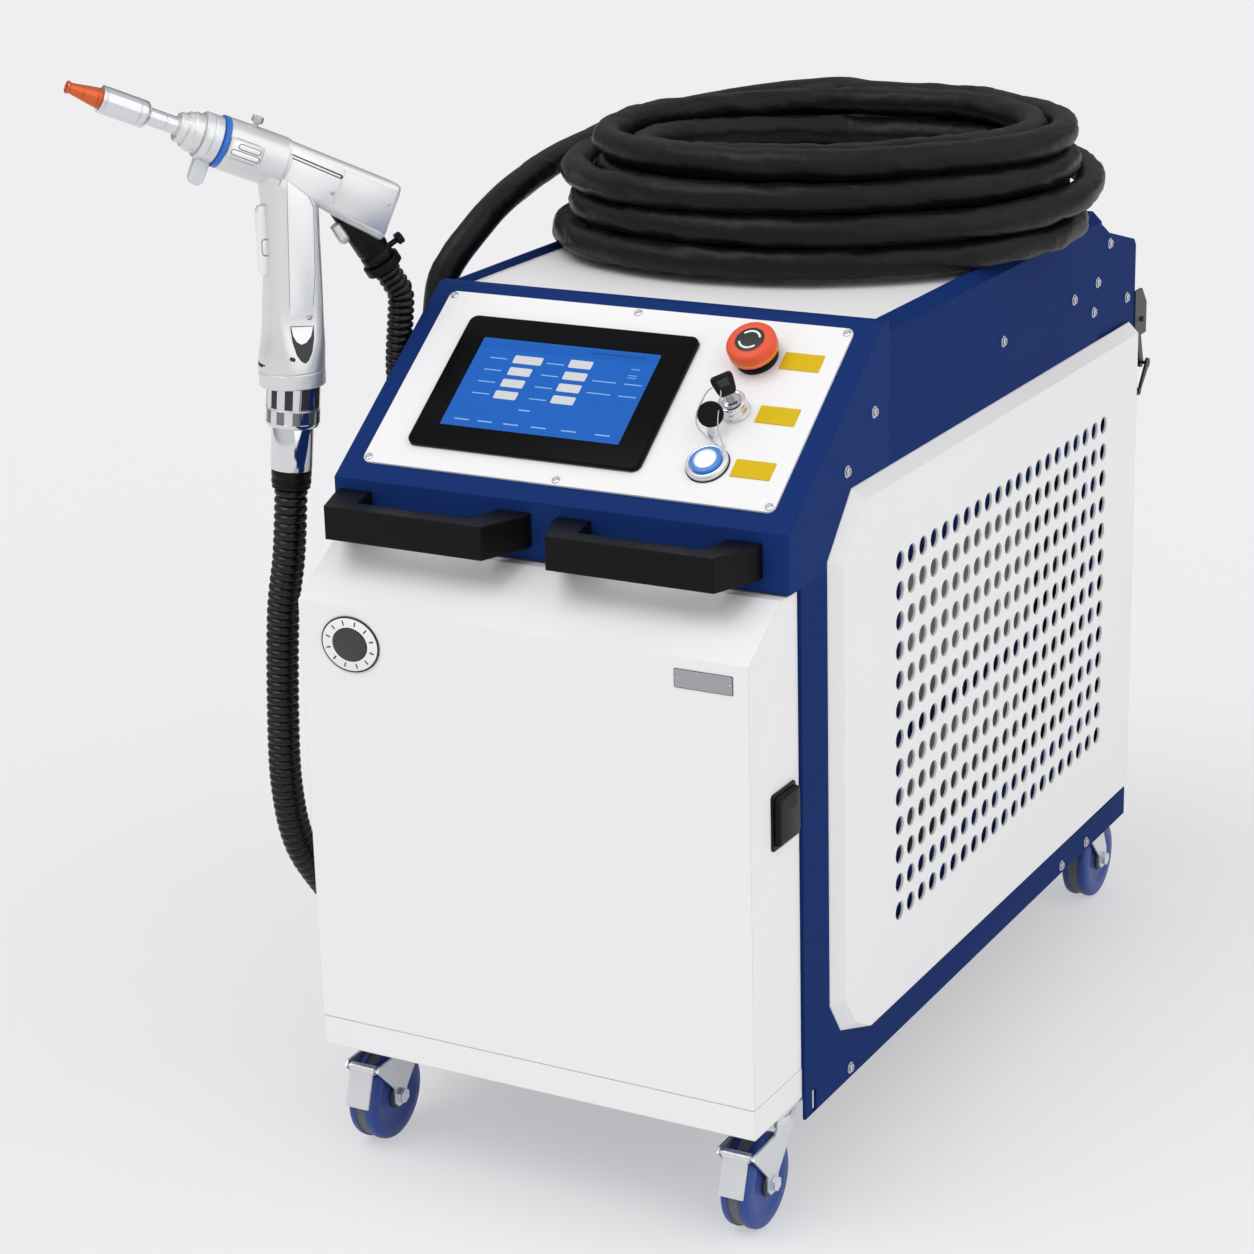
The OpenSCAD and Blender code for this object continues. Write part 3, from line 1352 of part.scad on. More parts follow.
function place_at(t, s) = [lookup(s, t[0]), lookup(s, t[1]), lookup(s, t[2])];
function way_at(t, s, e) = place_at(t, s + e) - place_at(t, s - e);

// Ribbed hose: ribs outside, a smooth bore inside
module ribbed_hose(p, d, ref) {
    way = smooth_way(p);
    t = tables(way);
    whole = way_length(way);
    ribs = floor(whole / rib_pitch);
    bores = floor(whole / bore_ring_step);
    e = rib_pitch / 4;
    outer = [for (i = [0 : 2 * ribs]) let (s = whole * i / ribs / 2)
        ring(place_at(t, s), way_at(t, s, e), ref, d / 2 - (i % 2) * rib_depth, hose_sides)];
    inner = [for (j = [bores : -1 : 0]) let (s = whole * j / bores)
        ring(place_at(t, s), way_at(t, s, e), ref, d / 2 - rib_depth - hose_wall, hose_sides)];
    closed_skin(concat(outer, inner));
}

// Coil: piled loops that spiral in and out again, and climb in the half turn where the spiral reverses
turn1 = (coil_start_r - coil_min_r) / coil_pitch;
turn2 = turn1 + (coil_peak_r - coil_min_r) / coil_pitch;
turn3 = turn2 + (coil_peak_r - coil_min_r) / coil_pitch;
function coil_radius(t) = t < turn1 ? coil_start_r - coil_pitch * t
    : t < turn2 ? coil_min_r + coil_pitch * (t - turn1)
    : t < turn3 ? coil_peak_r - coil_pitch * (t - turn2) : coil_min_r + coil_pitch * (t - turn3);
function climb(t) = max(0, min(1, 2 * t + 0.5));
function coil_point(t) = let (r = coil_radius(t), a = 90 + 360 * t) [coil_x + r * cos(a), coil_y + r * sin(a),
    cabinet_h + coil_lift + sleeve_d / 2 + coil_step * (climb(t - turn1) + climb(t - turn2) + climb(t - turn3))];
coil_points = concat([coil_point(0) + [sleeve_d, 0, 0]],
    [for (i = [0 : coil_loops * coil_rings]) coil_point(i / coil_rings)],
    [coil_point(coil_loops) - [sleeve_d, 0, 0]]);
function coil_way(i) = i <= 1 || i >= len(coil_points) - 2 ? [-1, 0, 0] : coil_points[i + 1] - coil_points[i - 1];
coil_gap = min([for (i = [0 : len(coil_points) - 8], j = [i + 7 : len(coil_points) - 1])
    norm(coil_points[i] - coil_points[j])]) - sleeve_d;
echo("least gap of the coil to itself", coil_gap);

module sleeve_coil() {
    color(black) placed() solid_skin([for (i = [0 : len(coil_points) - 1])
        ring(coil_points[i], coil_way(i), [0, 0, 1], sleeve_d / 2, tube_sides)]);
}
sleeve_start = coil_points[len(coil_points) - 1];
neck_end = [junction_at[0], junction_at[1], junction_z + junction_h + junction_neck];
module sleeve_drop() {
    way = smooth_way(concat([sleeve_start, sleeve_start - [sleeve_d, 0, 0]], sleeve_route,
        [neck_end + [0, 0, sleeve_d], neck_end]));
    t = tables(way);
    whole = way_length(way);
    n = floor(whole / sleeve_ring_step);
    echo("length of the sleeve beside the coil", whole);
    color(black) placed() solid_skin([for (i = [0 : n]) let (s = whole * i / n)
        ring(place_at(t, s), way_at(t, s, sleeve_d / 4), [1, -1, 1], sleeve_d / 2, sleeve_sides)]);
}
module hose_handle() {
    a = fitting_end();
    b = [junction_at[0], junction_hose1_y, junction_z];
    p = concat([a, a + hose1_d * fitting_way()], hose1_route, [b - [0, 0, hose1_d], b]);
    echo("length of the hose on the handle", way_length(smooth_way(p)));
    color(black) placed() ribbed_hose(p, hose1_d, [1, 0, 0]);
}
module hose_rear() {
    a = connector_tip();
    b = [junction_at[0], junction_hose2_y, junction_z];
    p = concat([a, a + hose2_d * connector_way()], hose2_route, [b - [0, 0, hose2_d], b]);
    echo("length of the hose on the rear connector", way_length(smooth_way(p)));
    color(black) placed() ribbed_hose(p, hose2_d, [1, 0, 0]);
}
module hose_junction() {
    color(black) placed() translate([junction_at[0], junction_at[1], junction_z]) {
        along_x(-junction_w / 2, junction_w / 2) polygon([[-junction_l / 2, 0], [junction_l / 2, 0],
            [junction_l / 2, junction_h / 2], [junction_w / 2 + junction_edge, junction_h - junction_edge],
            [junction_w / 2, junction_h], [-junction_w / 2, junction_h],
            [-junction_w / 2 - junction_edge, junction_h - junction_edge], [-junction_l / 2, junction_h / 2]]);
        translate([0, 0, junction_h]) cylinder(h = junction_neck, r = junction_neck_r);
    }
}
module cable_outlet() {
    x0 = coil_points[0][0];
    y0 = coil_points[0][1] - sleeve_d / 2 - outlet_wall;
    z1 = coil_points[0][2] + sleeve_d / 2 - outlet_wall;
    color(black) placed() along_x(x0, x0 + outlet_l) polygon([[y0, rear_top_z(y0)],
        [y0 + outlet_d, rear_top_z(y0 + outlet_d)], [y0 + outlet_d, z1], [y0, z1]]);
}

// Laser source on its shelf, chiller on the floor plate and the fan on the rear panel's motor pin
module laser_source() {
    color(steel) placed() {
        box([-laser_half, inside_y, shelf_z], [laser_half, inside_y + laser_l, shelf_z + laser_h]);
        for (i = [0 : fin_count - 1]) {
            x = -laser_half + i * (2 * laser_half - fin_t) / (fin_count - 1);
            box([x, inside_y + 2 * fin_h, shelf_z + laser_h],
                [x + fin_t, inside_y + laser_l - 2 * fin_h, shelf_z + laser_h + fin_h]);
        }
    }
}
module water_chiller() {
    top = floor_top + chiller_h;
    y1 = inside_y + chiller_l;
    color(steel) placed() {
        box([-chiller_half, inside_y, floor_top], [chiller_half, y1, top]);
        translate([-chiller_half / 2, inside_y + 2 * chiller_cap_r, top])
            cylinder(h = chiller_cap_h, r = chiller_cap_r);
        translate([chiller_half / 2, 0, floor_top + chiller_pump_r + 2 * sheet]) rod_y(y1, y1 + chiller_pump_l, chiller_pump_r);
    }
}
module fan_rotor() {
    y1 = cabinet_d - 2 * sheet - fan_gap - fit;
    y0 = y1 - fan_t;
    color(black) placed() translate([0, 0, fan_z]) difference() {
        union() {
            rod_y(y0, y1, fan_hub_r);
            for (i = [0 : fan_blades - 1]) rotate([0, i * 360 / fan_blades, 0])
                translate([fan_hub_r / 2, (y0 + y1) / 2, 0]) rotate([fan_blade_tilt, 0, 0])
                box([0, -fan_blade_t / 2, -fan_t / 2], [fan_r - fan_hub_r / 2, fan_blade_t / 2, fan_t / 2]);
        }
        rod_y(y0 - cut, y1 + cut, fan_pin_r + shaft_gap);
    }
}

base_frame();
right_shell();
left_shell();
top_hood();
rear_shell();
rear_panel();
top_plate();
control_head();
control_fascia();
kick_skirt();
right_panel();
left_panel();
front_handles();
cabinet_fasteners();
label_plates();
screen_bezel();
screen_display();
control_bezels();
stop_head();
switch_key();
spare_key();
start_button();
door();
door_latch();
door_badges();
draw_latch_plates();
draw_latch_lever();
draw_latch_bail();
caster_plates();
caster_fork_fl();
caster_fork_fr();
caster_fork_rl();
caster_fork_rr();
caster_wheel_fl();
caster_wheel_fr();
caster_wheel_rl();
caster_wheel_rr();
brake_pedal_fl();
brake_pedal_fr();
gun_body();
gun_handle();
gun_trigger();
gun_nozzle();
gun_tubes();
gun_collar();
gun_seal();
lens_drawer();
thumb_screw();
handle_fitting();
gun_connector();
gun_holder();
hose_handle();
hose_rear();
hose_junction();
sleeve_drop();
sleeve_coil();
cable_outlet();
laser_source();
water_chiller();
fan_rotor();
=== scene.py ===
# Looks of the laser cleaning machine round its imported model: cords, gun, controls, casters, studio.
# Lengths in the tables are millimetres in the cabinet's frame, which CAB turns into the shared metres.
from math import atan2, copysign, cos, degrees, pi, radians, sin, sqrt

import bmesh
import bpy
from mathutils import Matrix, Vector, noise


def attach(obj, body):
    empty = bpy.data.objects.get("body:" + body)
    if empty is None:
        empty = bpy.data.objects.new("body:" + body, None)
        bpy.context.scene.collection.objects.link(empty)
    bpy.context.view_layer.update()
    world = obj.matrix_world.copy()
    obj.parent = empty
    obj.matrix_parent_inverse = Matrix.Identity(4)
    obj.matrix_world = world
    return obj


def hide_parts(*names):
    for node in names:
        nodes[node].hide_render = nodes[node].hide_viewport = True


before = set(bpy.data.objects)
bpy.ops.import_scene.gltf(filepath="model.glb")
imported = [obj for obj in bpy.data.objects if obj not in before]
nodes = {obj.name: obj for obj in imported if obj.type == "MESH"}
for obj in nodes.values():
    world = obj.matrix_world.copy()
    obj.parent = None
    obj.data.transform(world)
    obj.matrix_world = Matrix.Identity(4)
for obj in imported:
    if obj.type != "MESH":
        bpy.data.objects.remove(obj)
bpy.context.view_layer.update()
scene = bpy.context.scene

# Places and sizes shared with the solids; turns, slants and leans are degrees
MM = 0.001
CABINET = Vector((107.7, -518.6, 0.0))
CABINET_H = 873.0
SLANT = 36.41
CHIN_Y, CHIN_TOP = 80.2, 716.2
GUN_X, GUN_Y, GUN_Z, GUN_TURN = -342.7, 150.0, 843.5, -128.77
BARREL_PLACE, BARREL_LEAN = (64.3, 0, 199.4), -24.1
FITTING_PLACE, FITTING_LEAN, FITTING_L = (2, 0, -50), -5, 116
CONNECTOR_PLACE, CONNECTOR_LEAN, CONNECTOR_L = (-71.2, 0, 106.6), 30.5, 62
JUNCTION_PLACE = (-308, 400, 560)
WHEEL_X, WHEEL_Z, WHEEL_FRONT_Y, WHEEL_REAR_Y = 219, 49, 59, 980
SHELL_SIDE, GUN_SIDE = 253.6, 22.0
STOP_PLACE, KEY_PLACE, START_PLACE, KEY_TURN = (142, 203), (145.5, 135), (142, 68), -143
CORNERS = ("fl", "fr", "rl", "rr")
ENDS = ((-1, "a"), (1, "b"))


def srgb(r, g, b):
    def one(v):
        v = v / 255.0
        return v / 12.92 if v <= 0.04045 else ((v + 0.055) / 1.055) ** 2.4
    return (one(r), one(g), one(b), 1.0)


def rot(axis, deg):
    return Matrix.Rotation(radians(deg), 4, axis)


def at(x, y, z):
    return Matrix.Translation((x, y, z))


CAB = Matrix.Scale(MM, 4) @ at(*CABINET)
FACE = CAB @ at(0, CHIN_Y, CHIN_TOP) @ rot("X", SLANT)
GUN = CAB @ at(GUN_X, GUN_Y, GUN_Z) @ rot("Z", GUN_TURN)
BARREL = GUN @ at(*BARREL_PLACE) @ rot("Y", BARREL_LEAN)
AHEAD = BARREL @ rot("Y", 90)
FITTING = GUN @ at(*FITTING_PLACE) @ rot("Y", FITTING_LEAN)
CONNECTOR = GUN @ at(*CONNECTOR_PLACE) @ rot("Y", CONNECTOR_LEAN)
JUNCTION = CAB @ at(*JUNCTION_PLACE)
# Turns that stand a flat outline up, to face the front, the gun's near side or the cabinet's right
STANDING = Matrix(((1, 0, 0, 0), (0, 0, -1, 0), (0, 1, 0, 0), (0, 0, 0, 1)))
NEAR = Matrix(((1, 0, 0, 0), (0, 0, 1, 0), (0, 1, 0, 0), (0, 0, 0, 1)))
RIGHTWARD = Matrix(((0, 0, 1, 0), (1, 0, 0, 0), (0, 1, 0, 0), (0, 0, 0, 1)))

# Camera at the photograph's place, its lens worked out from a focal length in pixels of the picture
CAMERA_PLACE = Vector((1488.3, -2439.4, 1566.9))
CAMERA_TURNS = (29.23, -18.47, -1.55)
FOCAL_PIXELS, PICTURE_PIXELS, SENSOR_WIDTH = 3147.7, 1254.0, 36.0


def make_camera():
    yaw, pitch, roll = map(radians, CAMERA_TURNS)
    ahead = Vector((-sin(yaw) * cos(pitch), cos(yaw) * cos(pitch), sin(pitch)))
    level = ahead.cross(Vector((0, 0, 1))).normalized()
    over = level.cross(ahead)
    right = level * cos(roll) + over * sin(roll)
    up = over * cos(roll) - level * sin(roll)
    data = bpy.data.cameras.new("camera")
    data.sensor_width = SENSOR_WIDTH
    data.lens = FOCAL_PIXELS / PICTURE_PIXELS * SENSOR_WIDTH
    data.clip_end = 100.0
    cam = bpy.data.objects.new("camera", data)
    scene.collection.objects.link(cam)
    turned = Matrix((right, up, -ahead)).transposed().to_4x4()
    cam.matrix_world = Matrix.Translation((CAMERA_PLACE + CABINET) * MM) @ turned
    scene.camera = cam


make_camera()

# Materials: every one is a small node tree with its own grain, colour variation and softened edges
class Nodes:
    """The node tree of a material or of the world, with short ways to add, set and link nodes."""
    def __init__(self, owner):
        owner.use_nodes = True
        self.owner = owner
        self.tree = owner.node_tree
        self.shader = self.tree.nodes.get("Principled BSDF")

    def add(self, kind, inputs=None, **settings):
        node = self.tree.nodes.new(kind)
        for key, value in settings.items():
            setattr(node, key, value)
        return self.put(node, inputs or {})

    def put(self, node, inputs):
        for key, value in inputs.items():
            node.inputs[key].default_value = value
        return node

    def link(self, a, b):
        self.tree.links.new(a, b)

    def clouds(self, source, scale, detail, distortion=0.0):
        node = self.add("ShaderNodeTexNoise", {"Scale": scale, "Detail": detail, "Distortion": distortion})
        self.link(source, node.inputs["Vector"])
        return node.outputs["Fac"]

    def bumps(self, height, strength, distance, target):
        node = self.add("ShaderNodeBump", {"Strength": strength, "Distance": distance})
        self.link(height, node.inputs["Height"])
        self.link(node.outputs["Normal"], target.inputs["Normal"])
        return node

    def blend(self, share, first, second, output):
        """Ends the tree in two shaders that are mixed by a share."""
        mix = self.add("ShaderNodeMixShader")
        self.link(share, mix.inputs[0])
        self.link(first.outputs[0], mix.inputs[1])
        self.link(second.outputs[0], mix.inputs[2])
        self.link(mix.outputs[0], self.tree.nodes[output].inputs["Surface"])


def surface(name, colour, rough, bump, spread, edge, metal=0.0, grain=900.0, rough_spread=0.08, sheen=0.0,
            patch=6.0, stretch=None, spec=None, distance=0.0004):
    """Colour varies by spread in patches, roughness by rough_spread in fine grain; edge rounds the edges."""
    k = Nodes(bpy.data.materials.new(name))
    source = fine_source = k.add("ShaderNodeTexCoord").outputs["Object"]
    if stretch:
        mapping = k.add("ShaderNodeMapping", {"Scale": stretch})
        k.link(source, mapping.inputs["Vector"])
        fine_source = mapping.outputs["Vector"]
    fine = k.clouds(fine_source, grain, 3.0)
    low, high = (tuple(min(1.0, c * part) for c in srgb(*colour)[:3]) + (1.0,)
                 for part in (1.0 - spread, 1.0 + spread))
    mix = k.add("ShaderNodeMixRGB", {"Color1": low, "Color2": high})
    k.link(k.clouds(source, patch, 4.0), mix.inputs["Fac"])
    k.link(mix.outputs["Color"], k.shader.inputs["Base Color"])
    ramp = k.add("ShaderNodeMapRange", {"To Min": max(0.0, rough - rough_spread),
                                        "To Max": min(1.0, rough + rough_spread)})
    k.link(fine, ramp.inputs["Value"])
    k.link(ramp.outputs["Result"], k.shader.inputs["Roughness"])
    k.put(k.shader, {"Metallic": metal})
    if sheen:
        k.put(k.shader, {"Sheen Weight": sheen, "Sheen Roughness": 0.5})
    if spec is not None:
        k.put(k.shader, {"Specular IOR Level": spec})
    k.bump = k.bumps(fine, bump, distance, k.shader)
    if edge:
        bevel = k.add("ShaderNodeBevel", {"Radius": edge}, samples=4)
        k.link(bevel.outputs["Normal"], k.bump.inputs["Normal"])
    return k


def sleeve_material():
    k = surface("sleeve_fabric", (10, 10, 11), 0.40, 0.35, 0.18, 0.0, grain=2200, rough_spread=0.1,
                sheen=0.01, spec=0.22, distance=0.0003)
    folds = k.clouds(k.add("ShaderNodeTexCoord").outputs["Object"], 34.0, 3.0, 0.6)
    k.bumps(folds, 0.45, 0.006, k.bump)
    return k.owner


def lit(name, colour, strength):
    k = Nodes(bpy.data.materials.new(name))
    k.put(k.shader, {"Base Color": srgb(*colour), "Roughness": 0.3, "Specular IOR Level": 0.08,
                     "Emission Color": srgb(*colour), "Emission Strength": strength})
    return k.owner


# Name, colour, roughness, bump, spread of the colour, rounding of the edges, other values
SURFACES = {
    "blue": ("blue_paint", (21, 47, 104), 0.50, 0.10, 0.05, 0.0012, dict(grain=1400, spec=0.02)),
    "blue_head": ("blue_head_paint", (23, 50, 110), 0.50, 0.10, 0.05, 0.0012, dict(grain=1400, spec=0.03)),
    "white": ("white_paint", (238, 237, 238), 0.5, 0.08, 0.012, 0.0015, dict(grain=1500, spec=0.15)),
    "fascia": ("fascia_paint", (239, 239, 240), 0.45, 0.06, 0.01, 0.0006, dict(grain=1500, spec=0.15)),
    "grey": ("grey_paint", (150, 152, 156), 0.45, 0.1, 0.04, 0.0008, dict(grain=1200)),
    "black_metal": ("black_grip_paint", (15, 15, 16), 0.34, 0.25, 0.12, 0.003, dict(grain=1600, spec=0.12)),
    "black_plastic": ("black_plastic", (12, 12, 13), 0.36, 0.15, 0.12, 0.001, dict(grain=1300, spec=0.16)),
    "black_gloss": ("black_gloss", (9, 10, 12), 0.22, 0.0, 0.06, 0.0006,
        dict(rough_spread=0.03, spec=0.05)),
    "yellow": ("yellow_label", (214, 181, 21), 0.5, 0.05, 0.02, 0.0003, dict(spec=0.10)),
    "red": ("red_plastic", (228, 86, 52), 0.4, 0.05, 0.04, 0.001, dict(spec=0.3)),
    "zinc": ("zinc_plate", (226, 228, 232), 0.34, 0.12, 0.06, 0.0007,
        dict(metal=0.75, rough_spread=0.12, patch=60)),
    "chrome": ("chrome_plate", (222, 224, 227), 0.10, 0.02, 0.02, 0.0006,
        dict(metal=1.0, rough_spread=0.03)),
    "aluminium": ("gun_aluminium", (226, 227, 228), 0.34, 0.16, 0.03, 0.0012,
        dict(metal=0.75, rough_spread=0.07, grain=1500)),
    "aluminium_flat": ("gun_aluminium_bright", (247, 247, 248), 0.36, 0.10, 0.015, 0.0010,
        dict(metal=0.35, rough_spread=0.06, grain=1500)),
    "copper": ("copper", (222, 104, 58), 0.26, 0.06, 0.12, 0.0005, dict(metal=0.75)),
    "seal": ("blue_ring", (30, 108, 205), 0.35, 0.03, 0.03, 0.0008, {}),
    "tyre": ("blue_tyre", (26, 62, 140), 0.42, 0.12, 0.08, 0.002, {}),
    "tyre_band": ("grey_band", (92, 94, 100), 0.55, 0.15, 0.08, 0.0008, {}),
    "screw": ("screw_steel", (200, 202, 206), 0.24, 0.05, 0.08, 0.0006, dict(metal=1.0)),
    "dark_metal": ("dark_metal", (58, 59, 63), 0.38, 0.15, 0.12, 0.0008, dict(metal=0.6)),
    "hose": ("ribbed_hose", (9, 9, 10), 0.28, 0.08, 0.15, 0.0, dict(spec=0.35)),
    "dark": ("dark_inside", (14, 14, 16), 0.7, 0.05, 0.1, 0.0008, {}),
    "plate": ("badge_plate", (168, 170, 174), 0.34, 0.08, 0.06, 0.0003,
        dict(metal=0.7, stretch=(1, 1, 12))),
    "badge_white": ("badge_white", (238, 238, 238), 0.35, 0.03, 0.02, 0.0003, {}),
    "badge_black": ("badge_black", (28, 28, 30), 0.35, 0.03, 0.1, 0.0003, {}),
    "slot_line": ("slot_line", (120, 122, 126), 0.5, 0.0, 0.03, 0.0, dict(metal=0.3)),
    "thin_edge": ("bezel_edge", (120, 122, 128), 0.25, 0.0, 0.02, 0.0, dict(metal=0.6)),
    "tab": ("clear_tab", (214, 218, 220), 0.25, 0.05, 0.03, 0.0008, {}),
    "start_blue": ("blue_lit_ring", (60, 130, 215), 0.3, 0.0, 0.02, 0.0, {}),
    # Grey for every other square of the lower nut: painted shade on its facets
    "nut_shade_grey": ("nut_dull_squares", (130, 132, 136), 0.42, 0.1, 0.1, 0.0, dict(metal=0.9)),
    "chrome_light": ("bright_bezel", (225, 227, 231), 0.2, 0.02, 0.02, 0.0005, dict(metal=0.55)),
    "start_grey": ("start_inner_ring", (196, 204, 210), 0.35, 0.0, 0.03, 0.0, {}),
    # Blue-grey of the key's ribs: a painted highlight
    "key_rib": ("key_rib_grey", (70, 78, 98), 0.4, 0.0, 0.05, 0.0, {}),
    "badge_grey": ("badge_core_grey", (52, 52, 55), 0.4, 0.05, 0.1, 0.0003, {}),
    "plate_dark": ("plate_border", (92, 93, 97), 0.4, 0.05, 0.1, 0.0, dict(metal=0.6)),
}
# Name, colour and strength of the lit ones
LIT = {
    "display": ("display_lit", (30, 96, 186), 0.02),
    "panel_grey": ("value_box_lit", (206, 209, 211), 0.0),
    "pale_line": ("pale_line_lit", (140, 182, 224), 0.0),
    "start_glow": ("start_glow", (236, 246, 255), 0.5),
    "display_dark": ("display_header_lit", (28, 92, 180), 0.02),
}
M = {key: surface(*row, **more).owner for key, (*row, more) in SURFACES.items()}
M.update((key, lit(*values)) for key, values in LIT.items())
M["sleeve"] = sleeve_material()


# Mesh builders; faces that meet at more than this many degrees keep a sharp edge
SHARP_ANGLE = 38


def add_mesh(name, verts, faces, material, space, body="cabinet", face_mats=None):
    """A mesh from points of the space; material is a key, or several keys that face_mats counts in."""
    mesh = bpy.data.meshes.new(name)
    mesh.from_pydata([tuple(space @ Vector(v)) for v in verts], [], faces)
    mesh.validate()
    for key in (material,) if isinstance(material, str) else material:
        mesh.materials.append(M[key])
    if face_mats:
        for f, i in zip(mesh.polygons, face_mats):
            f.material_index = i
    bm = bmesh.new()
    bm.from_mesh(mesh)
    bmesh.ops.remove_doubles(bm, verts=bm.verts, dist=1e-7)
    bmesh.ops.recalc_face_normals(bm, faces=bm.faces)
    bm.to_mesh(mesh)
    bm.free()
    for f in mesh.polygons:
        f.use_smooth = True
    mesh.set_sharp_from_angle(angle=radians(SHARP_ANGLE))
    o = bpy.data.objects.new(name, mesh)
    scene.collection.objects.link(o)
    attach(o, body)
    return o


def ring_faces(rows, n, cap=True):
    faces = []
    for i in range(rows - 1):
        for k in range(n):
            m = (k + 1) % n
            faces.append((i * n + k, i * n + m, (i + 1) * n + m, (i + 1) * n + k))
    if cap:
        faces.append(tuple(reversed(range(n))))
        faces.append(tuple((rows - 1) * n + k for k in range(n)))
    return faces


def loft(name, rows, material, space, body="cabinet", face_mats=None):
    verts = [v for r in rows for v in r]
    return add_mesh(name, verts, ring_faces(len(rows), len(rows[0])), material, space, body, face_mats)


def level(outline, z):
    return [(x, y, z) for x, y in outline]


def ring(radius, h, n):
    """A round row of n points at height h; radius is a function of the point's number."""
    return [(radius(k) * cos(2 * pi * k / n), radius(k) * sin(2 * pi * k / n), h)
            for k in range(n)]


def lathe(name, profile, material, space, n=48, body="cabinet", bands=None):
    """A turned piece from (radius, height) points; bands gives the material's number of every step."""
    rows = [ring(lambda k: r, h, n) for r, h in profile]
    face_mats = None
    if bands:
        face_mats = [bands[i] for i in range(len(rows) - 1) for _ in range(n)] + [bands[0], bands[-1]]
    return loft(name, rows, material, space, body, face_mats)


def rounded(w, h, r, n=6, x0=0.0, y0=0.0):
    pts = []
    for cx, cy, a0 in ((w - r, h - r, 0), (r, h - r, 90), (r, r, 180), (w - r, r, 270)):
        for i in range(n + 1):
            a = radians(a0 + 90.0 * i / n)
            pts.append((x0 + cx + r * cos(a), y0 + cy + r * sin(a)))
    return pts


def inset(pts, d):
    out = []
    n = len(pts)
    for i in range(n):
        a, b, c = Vector(pts[i - 1]), Vector(pts[i]), Vector(pts[(i + 1) % n])
        e1, e2 = (b - a), (c - b)
        n1 = Vector((-e1.y, e1.x)).normalized() if e1.length > 1e-9 else Vector((0, 0))
        n2 = Vector((-e2.y, e2.x)).normalized() if e2.length > 1e-9 else Vector((0, 0))
        m = n1 + n2
        m = m.normalized() if m.length > 1e-9 else n1
        out.append(tuple(b + m * d))
    return out


def area(pts):
    return 0.5 * sum(pts[i - 1][0] * pts[i][1] - pts[i][0] * pts[i - 1][1] for i in range(len(pts)))


def anticlockwise(pts):
    return list(reversed(pts)) if area(pts) < 0 else list(pts)


def bar(x0, z0, x1, z1, w):
    """Rounded slot outline from one point to another."""
    d = Vector((x1 - x0, z1 - z0))
    a0 = degrees(atan2(d.y, d.x))
    pts = []
    for cx, cz, start in ((x1, z1, -90), (x0, z0, 90)):
        for i in range(9):
            a = radians(a0 + start + 180.0 * i / 8)
            pts.append((cx + w / 2 * cos(a), cz + w / 2 * sin(a)))
    return pts


def plate(name, outline, z0, z1, bevel, material, space, steps=3, body="cabinet"):
    """A plate from z0 to z1 whose edges are rounded by the bevel in a few steps."""
    outline = anticlockwise(outline)
    turns = [radians(90.0 * i / steps) for i in range(steps + 1)]
    less = [(bevel * (1 - sin(a)), bevel * (1 - cos(a))) for a in turns]
    rows = [level(inset(outline, side), z0 + up) for side, up in less]
    rows += [level(inset(outline, side), z1 - down) for down, side in less]
    return loft(name, rows, material, space, body)


def side_plate(name, outline, y0, y1, bevel, material, space, body="cabinet"):
    """A thin plate on the gun's near side: outline in (along, up), from y0 to y1 outwards."""
    return plate(name, outline, y0, y1, bevel, material, space @ NEAR, 2, body)


def smooth_points(points, steps=8):
    p = [Vector(v) for v in points]
    out = [p[0]]
    for i in range(1, len(p) - 2):
        a, b, c, d = p[i - 1], p[i], p[i + 1], p[i + 2]
        for k in range(steps):
            t = k / steps
            out.append(0.5 * (2 * b + (c - a) * t + (2 * a - 5 * b + 4 * c - d) * t * t
                              + (3 * b - a - 3 * c + d) * t ** 3))
    return out + [p[-2], p[-1]]


def resampled(points, step):
    p = [Vector(v) for v in points]
    s = [0.0]
    for a, b in zip(p, p[1:]):
        s.append(s[-1] + (b - a).length)
    n = max(2, int(round(s[-1] / step)))
    out = []
    j = 0
    for i in range(n + 1):
        d = s[-1] * i / n
        while j < len(s) - 2 and s[j + 1] < d:
            j += 1
        t = (d - s[j]) / max(1e-9, s[j + 1] - s[j])
        out.append(p[j].lerp(p[j + 1], min(1.0, max(0.0, t))))
    return out


def tube(name, centre, radius, sides, material, space=CAB, body="cabinet", ref=Vector((0, 0, 1)),
         start_way=None, end_way=None):
    """A pipe along the centre line; radius(i, angle) is that of row i at an angle, both in millimetres."""
    n = len(centre)
    rows = []
    a = None
    for i in range(n):
        way = (centre[min(i + 1, n - 1)] - centre[max(i - 1, 0)]).normalized()
        if i == 0 and start_way is not None:
            way = Vector(start_way).normalized()
        if i == n - 1 and end_way is not None:
            way = Vector(end_way).normalized()
        if a is None:
            a = way.cross(ref)
            if a.length < 1e-3:
                a = way.cross(Vector((1, 0, 0)))
        a = (a - way * a.dot(way)).normalized()
        b = a.cross(way).normalized()
        row = []
        for k in range(sides):
            t = 2 * pi * k / sides
            r = radius(i, t)
            row.append(centre[i] + (a * sin(t) + b * cos(t)) * r)
        rows.append(row)
    return loft(name, rows, material, space, body)


